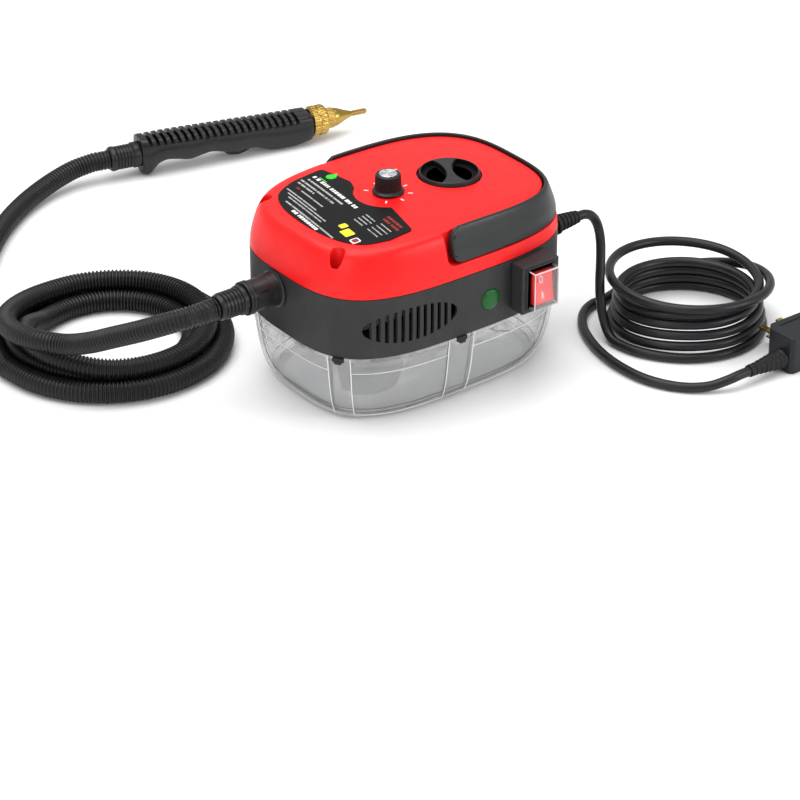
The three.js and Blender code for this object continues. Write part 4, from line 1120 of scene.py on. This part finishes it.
def hose_socket():
    wall = -BODY_LENGTH / 2 - GAP
    profile = [
        (7.3, -112), (11.5, -112), (11.5, wall), (15.8, wall), (16.2, wall - 0.5), (16.2, wall - 1.3),
        (15.6, wall - 1.8), (14.4, wall - 2.5), (13.9, -131), (13.9, -134), (13.5, -134.5), (13.5, -150.5),
        (14.4, -151.2), (14.4, -153), (13.7, -153.6), (13.7, -154.4), (14.4, -155), (14.4, -156.4),
        (13.9, -157), (11.6, -157), (11.6, -140), (7.3, -140), (7.3, -112),
    ]
    socket = turned(profile, **ON_SOCKET)
    for angle in (70, 190, 310):
        turn = (Matrix.Translation((0, SOCKET.y, SOCKET.z)) @ Matrix.Rotation(math.radians(angle), 4, "X"))
        combine(socket, "DIFFERENCE", box((-148.5, -3.2, 12.9), (-139, 3.2, 15), matrix=turn))
    finished(socket, "black", "base", round_mm=0.25, sharp=42, nodes=("hose_socket",))
    profile = [
        (4, -142), (11.2, -142), (11.2, -157.6), (12.4, -158), (12.6, -158.6), (12.6, -161.4), (12.2, -162),
        *rings(-162.4, -179.6, 3.44, 10.7, 11.6), (11.2, -180.4), (10.2, -183), (4, -183), (4, -142),
    ]
    connector = turned(profile, **ON_SOCKET)
    finished(connector, "black", "base", sharp=42, nodes=("hose_connector",))


def cord_gland():
    profile = [
        (0.5, 112), (7, 112), (7, 124), (9, 124.2), (9.2, 124.9), (9.2, 126.8), (8.7, 127.5), (7.7, 128),
        *((r, x) for x, r in ((129, 6.9), (129.8, 6.7), (130.2, 7.6), (132.6, 7.5), (133, 6.4), (134.2, 6.3),
                              (134.6, 7.2), (137, 7.1), (137.4, 6), (138.6, 5.9), (139, 6.8), (141.4, 6.6),
                              (141.8, 5.6), (143, 5.5), (143.4, 6.3), (145.6, 6.1), (146, 5.2), (147.2, 5.1),
                              (147.6, 5.7), (149.4, 5.5), (150, 5))),
        (0.5, 150),
    ]
    gland = turned(profile, **ON_GLAND)
    finished(gland, "rubber", "base", sharp=42, nodes=("cord_gland",))
    return gland


# ------------------------------------------------------------------ plug
PLUG_LOW = Vector((240, -223, 0))
PLUG_HIGH = Vector((286, -189, 34))


def plug():
    x0, y0, x1, y1 = PLUG_LOW.x, PLUG_LOW.y, PLUG_HIGH.x, PLUG_HIGH.y
    outline = [
        (x0 + 3, y0), (x1 - 3, y0), (x1, y0 + 3), (x1, y1 - 6), (x1 - 6, y1), (x0 + 6, y1), (x0, y1 - 6),
        (x0, y0 + 3),
    ]
    body = prism(outline, PLUG_LOW.z, PLUG_HIGH.z)
    grips = [box((x0 + 12, y0 - 5, z), (x1 - 8, y0 + 0.7, z + 1.6)) for z in (9, 13, 17, 21, 25)]
    panel = box((x0 + 9, y0 + 7, PLUG_HIGH.z - 0.7), (x1 - 9, y1 - 7, PLUG_HIGH.z + 5))
    round_edges(body, 1.4, steps=3)
    combine(body, "DIFFERENCE", *grips, panel)
    finished(body, "plug", "base", nodes=("plug_body",))
    relief = [
        (0.5, 202), (5.2, 202), (5.4, 203), (5.5, 206), *rings_growing(206.5, 236, 6, 5.4, 8.2),
        (8.4, 237), (8.6, 238), (8.6, 239.7), (0.5, 239.7),
    ]
    sleeve = turned(relief, axis="x", centre=(0, -211, 12), sides=48, name="plug_sleeve")
    finished(sleeve, "rubber", "base", round_mm=0.25, sharp=42, nodes=("plug_relief",))
    return body, sleeve


indicator_lens()
switch_frame()
switch_boot()
rocker()
hose_socket()
gland_piece = cord_gland()
plug_pieces = plug()


# ------------------------------------------------------------------ gun
# Stations along the gun: [x, belly height, spine height, half width].
GUN_STATIONS = [
    (-3, 11, 38.5, 13), (-1.5, 2, 38.5, 14), (1, 0, 38.5, 14.5), (5, 0, 38.3, 15), (13, 8.5, 38, 15.2),
    (22, 12, 37.7, 15.5), (34, 10.5, 37.2, 16), (46, 8, 36.8, 16.2), (58, 10, 36.3, 16),
    (68, 11.5, 35.9, 15.8),
    (80, 9, 35.4, 16), (92, 6, 35, 16.2), (112, 7, 34.1, 16), (132, 1.4, 33.4, 16.2), (143, 0, 33, 16.4),
    (156, 0, 32.4, 16.5), (172, 3, 31.8, 16.2), (174, 4.5, 30.5, 15),
]
SLOT = {"count": 22, "first": 4, "pitch": 7.2, "width": 3.2, "start": 32, "fall": 6.7, "length": 174}
TRIGGER = {"left": 84, "right": 110, "bottom": 2.4, "top": 12, "half_width": 6}


def gun_section(station, sides=44):
    """A ring of the gun's section: boxy over its ridge and round under it."""
    x, low, high, half = station
    ridge = low + (high - low) * 0.56
    ring = []
    for i in range(sides):
        angle = 2 * math.pi * (i + 0.5) / sides
        c, s = math.cos(angle), math.sin(angle)
        power, reach = (4.6, high - ridge) if s > 0 else (2.7, ridge - low)
        size = (abs(c) ** power + abs(s) ** power) ** (-1 / power)
        shoulder = 0.93 if s > 0 else 1.0
        taper = shoulder + (1 - shoulder) * max(0.0, 1 - abs(s) * size * 5)
        ring.append((x, c * size * half * taper, ridge + s * size * reach))
    return ring


def gun_body():
    stations = [Vector(s) for s in GUN_STATIONS]
    fine = []
    for i in range(len(stations) - 1):
        count = max(1, round((stations[i + 1][0] - stations[i][0]) / 3))
        before, start = stations[max(i - 1, 0)], stations[i]
        end, after = stations[i + 1], stations[min(i + 2, len(stations) - 1)]
        for k in range(count):
            t = k / count
            at = curve_at(start, end, (end - before) / 2, (after - start) / 2, t)
            fine.append((start[0] + (end[0] - start[0]) * t, max(0.0, at[1]), at[2], min(at[3], 16.5)))
    fine.append(GUN_STATIONS[-1])
    sides = 44
    points = [p for station in fine for p in gun_section(station, sides)]
    faces = rings_to_faces(len(fine), sides, False)
    faces.append(tuple(range(sides))[::-1])
    faces.append(tuple(range((len(fine) - 1) * sides, len(fine) * sides)))
    body = new_piece("gun_body", points, faces)
    slots = []
    for i in range(SLOT["count"]):
        x = SLOT["first"] + i * SLOT["pitch"]
        floor = SLOT["start"] - x / SLOT["length"] * SLOT["fall"]
        slots.append(box((x, -30, floor), (x + SLOT["width"], 30, 60)))
    bore = bar(4.3, -10, 190, axis="x", centre=(0, 0, GUN_AXIS_Z), sides=32)
    combine(body, "DIFFERENCE", join("slots", *slots), bore)
    opening = (
        (TRIGGER["left"] - GAP, -TRIGGER["half_width"] - GAP, -5),
        (TRIGGER["right"] + GAP, TRIGGER["half_width"] + GAP, TRIGGER["top"] + 3.6),
    )
    return combine(body, "DIFFERENCE", box(*opening))


def gun():
    whole = gun_body()
    other = join("gun_body_left", whole.copy())
    halves = ((whole, -60, -0.12, "gun_shell_right"), (other, 0.12, 60, "gun_shell_left"))
    for piece, low, high, node in halves:
        combine(piece, "INTERSECT", box((-60, low, -10), (300, high, 60)))
        piece.data.transform(Matrix.Scale(MM, 4) @ GUN_PLACE @ Matrix.Scale(1 / MM, 4))
        finished(piece, "gun", "base", round_mm=0.45, sharp=44, nodes=(node,))
    cuff = turned([
        (0.5, -33), (10.2, -33), (10.8, -32.4), (11.9, -31), (12, -28), (11.4, -27.2),
        *rings(-27, -11, 3.2, 10.6, 11.5),
        (11.2, -10.6), (12.4, -9.5), (12.4, -4), (12, -3.4), (0.5, -3.4),
    ], axis="x", centre=(0, 0, GUN_AXIS_Z + 1.5), sides=48, matrix=GUN_PLACE, name="gun_cuff")
    finished(cuff, "black", "base", sharp=42, nodes=("gun_hose_cuff",))
    t = TRIGGER
    outline = [
        (t["left"], t["top"]), (t["left"], 6.5), (t["left"] + 3, 4.6), (t["left"] + 6, 3.6),
        (t["left"] + 13, t["bottom"]),
        (t["right"] - 6, 3.6), (t["right"] - 2, 5.2), (t["right"], 7), (t["right"], t["top"]),
    ]
    lever = prism(outline, -t["half_width"], t["half_width"], matrix=GUN_PLACE @ TO_XZ, name="gun_lever")
    finished(lever, "black", "trigger", round_mm=0.9, steps=3, nodes=("gun_trigger",))
    return cuff


def knurl(count, depth):
    def cut(angle, along):
        return -depth * abs(math.sin(count * angle / 2)) ** 0.7
    return cut


def brass_parts():
    on_barrel = {"axis": "x", "centre": (0, 0, GUN_AXIS_Z), "matrix": GUN_PLACE}

    def bands(count, depth, *ranges):
        cut = knurl(count, depth)
        return lambda angle, along: cut(angle, along) if any(a < along < b for a, b in ranges) else 0

    nut = turned([
        (9.6, 174.5), (12.8, 174.5), (13.6, 175.3), (15, 176), (15, 181.4), (14.2, 181.7), (14.2, 182.9),
        (15, 183.2), (15, 189), (14.2, 190.3), (13.6, 191), (9.6, 191), (9.6, 174.5),
    ], flute=bands(30, 0.6, (175.8, 181.5), (183, 189.3)), sides=240, name="nut", **on_barrel)
    finished(nut, "brass", "nut", sharp=42, nodes=("nozzle_nut",))
    tip = [(3, 219.2)]
    for i in range(7):
        at = 220.5 + i * 2.05
        tip += [(2.3, at), (2.3, at + 0.35), (2.95, at + 0.9), (2.95, at + 1.3)]
    nozzle = turned([
        (1.1, 174.8), (6, 174.8), (6, 178), (9, 179), (9.2, 179.3), (9.2, 191.5), (9.3, 192), (10, 192.6),
        (10, 199.4), (9.2, 200), (9.2, 201), (9, 203), (8.2, 205.4), (7.2, 208), (5.2, 212.6), (3.6, 217),
        *tip, (2.3, 235.2), (2, 236), (1.1, 236), (1.1, 174.8),
    ], flute=bands(40, 0.3, (192.3, 199.7)), sides=200, name="nozzle", **on_barrel)
    finished(nozzle, "brass", "nozzle", sharp=42, nodes=("steam_nozzle",))


gun_cuff = gun()
brass_parts()


# ------------------------------------------------------------------ CAD pieces that are shown as they are
KEPT = {
    "rubber": ("tank_seal", "cap_seal"),
    "housing": ("floor_plate",),
    "black": ("filler_neck", "switch_body", "water_pump"),
    "steel": ("handle_pin_front", "handle_pin_rear", "pump_bracket", "plug_pin_earth"),
    "brass": ("plug_pin_line", "plug_pin_neutral", "thermal_fuse"),
    "zinc": (
        "cover_screw_1", "cover_screw_2", "cover_screw_3", "cover_screw_4", "pot_body", "boiler_thermostat",
    ),
    "cast": ("pot_shaft", "boiler_block"),
    "copper": ("steam_pipe", "gun_steam_tube"),
    "natural": ("suction_tube", "suction_filter", "feed_tube", "indicator_lamp"),
    "board": ("control_board",),
}
for look, names in KEPT.items():
    for name in names:
        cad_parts[name].data.materials.clear()
        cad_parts[name].data.materials.append(looks[look])


# ------------------------------------------------------------------ floor and lights
def floor():
    look = Look("floor", Base_Color=(0.86, 0.86, 0.86, 1), Roughness=0.75)
    look.colours(look.noise(160, 3), (0.3, (0.85, 0.85, 0.85)), (0.7, (0.87, 0.87, 0.87)))
    reach = 6000
    corners = [(-reach, -reach, 0), (reach, -reach, 0), (reach, reach, 0), (-reach, reach, 0)]
    ground = new_piece("floor", corners, [(0, 1, 2, 3)])
    ground.data.materials.append(look.material)


def area_light(name, place, target, size, watts):
    light = bpy.data.lights.new(name, "AREA")
    light.shape = "RECTANGLE"
    light.size, light.size_y = size
    light.energy = watts
    lamp = bpy.data.objects.new(name, light)
    lamp.location = place
    lamp.rotation_euler = (Vector(target) - Vector(place)).to_track_quat("-Z", "Y").to_euler()
    bpy.context.scene.collection.objects.link(lamp)


floor()
area_light("overhead", (-0.2, 0.3, 2.2), (0, 0, 0), (2.6, 2.2), 60)
area_light("front_right", (1.2, -2.0, 1.1), (0, 0, 0.08), (1.2, 1.0), 22)
area_light("front_left", (-2.3, -0.8, 1.0), (0, 0, 0.08), (1.0, 1.0), 10)
world = bpy.data.worlds.new("studio")
world.use_nodes = True
world.node_tree.nodes["Background"].inputs["Color"].default_value = (1, 1, 1, 1)
world.node_tree.nodes["Background"].inputs["Strength"].default_value = 0.6
bpy.context.scene.world = world
bpy.context.scene.view_settings.view_transform = "Standard"
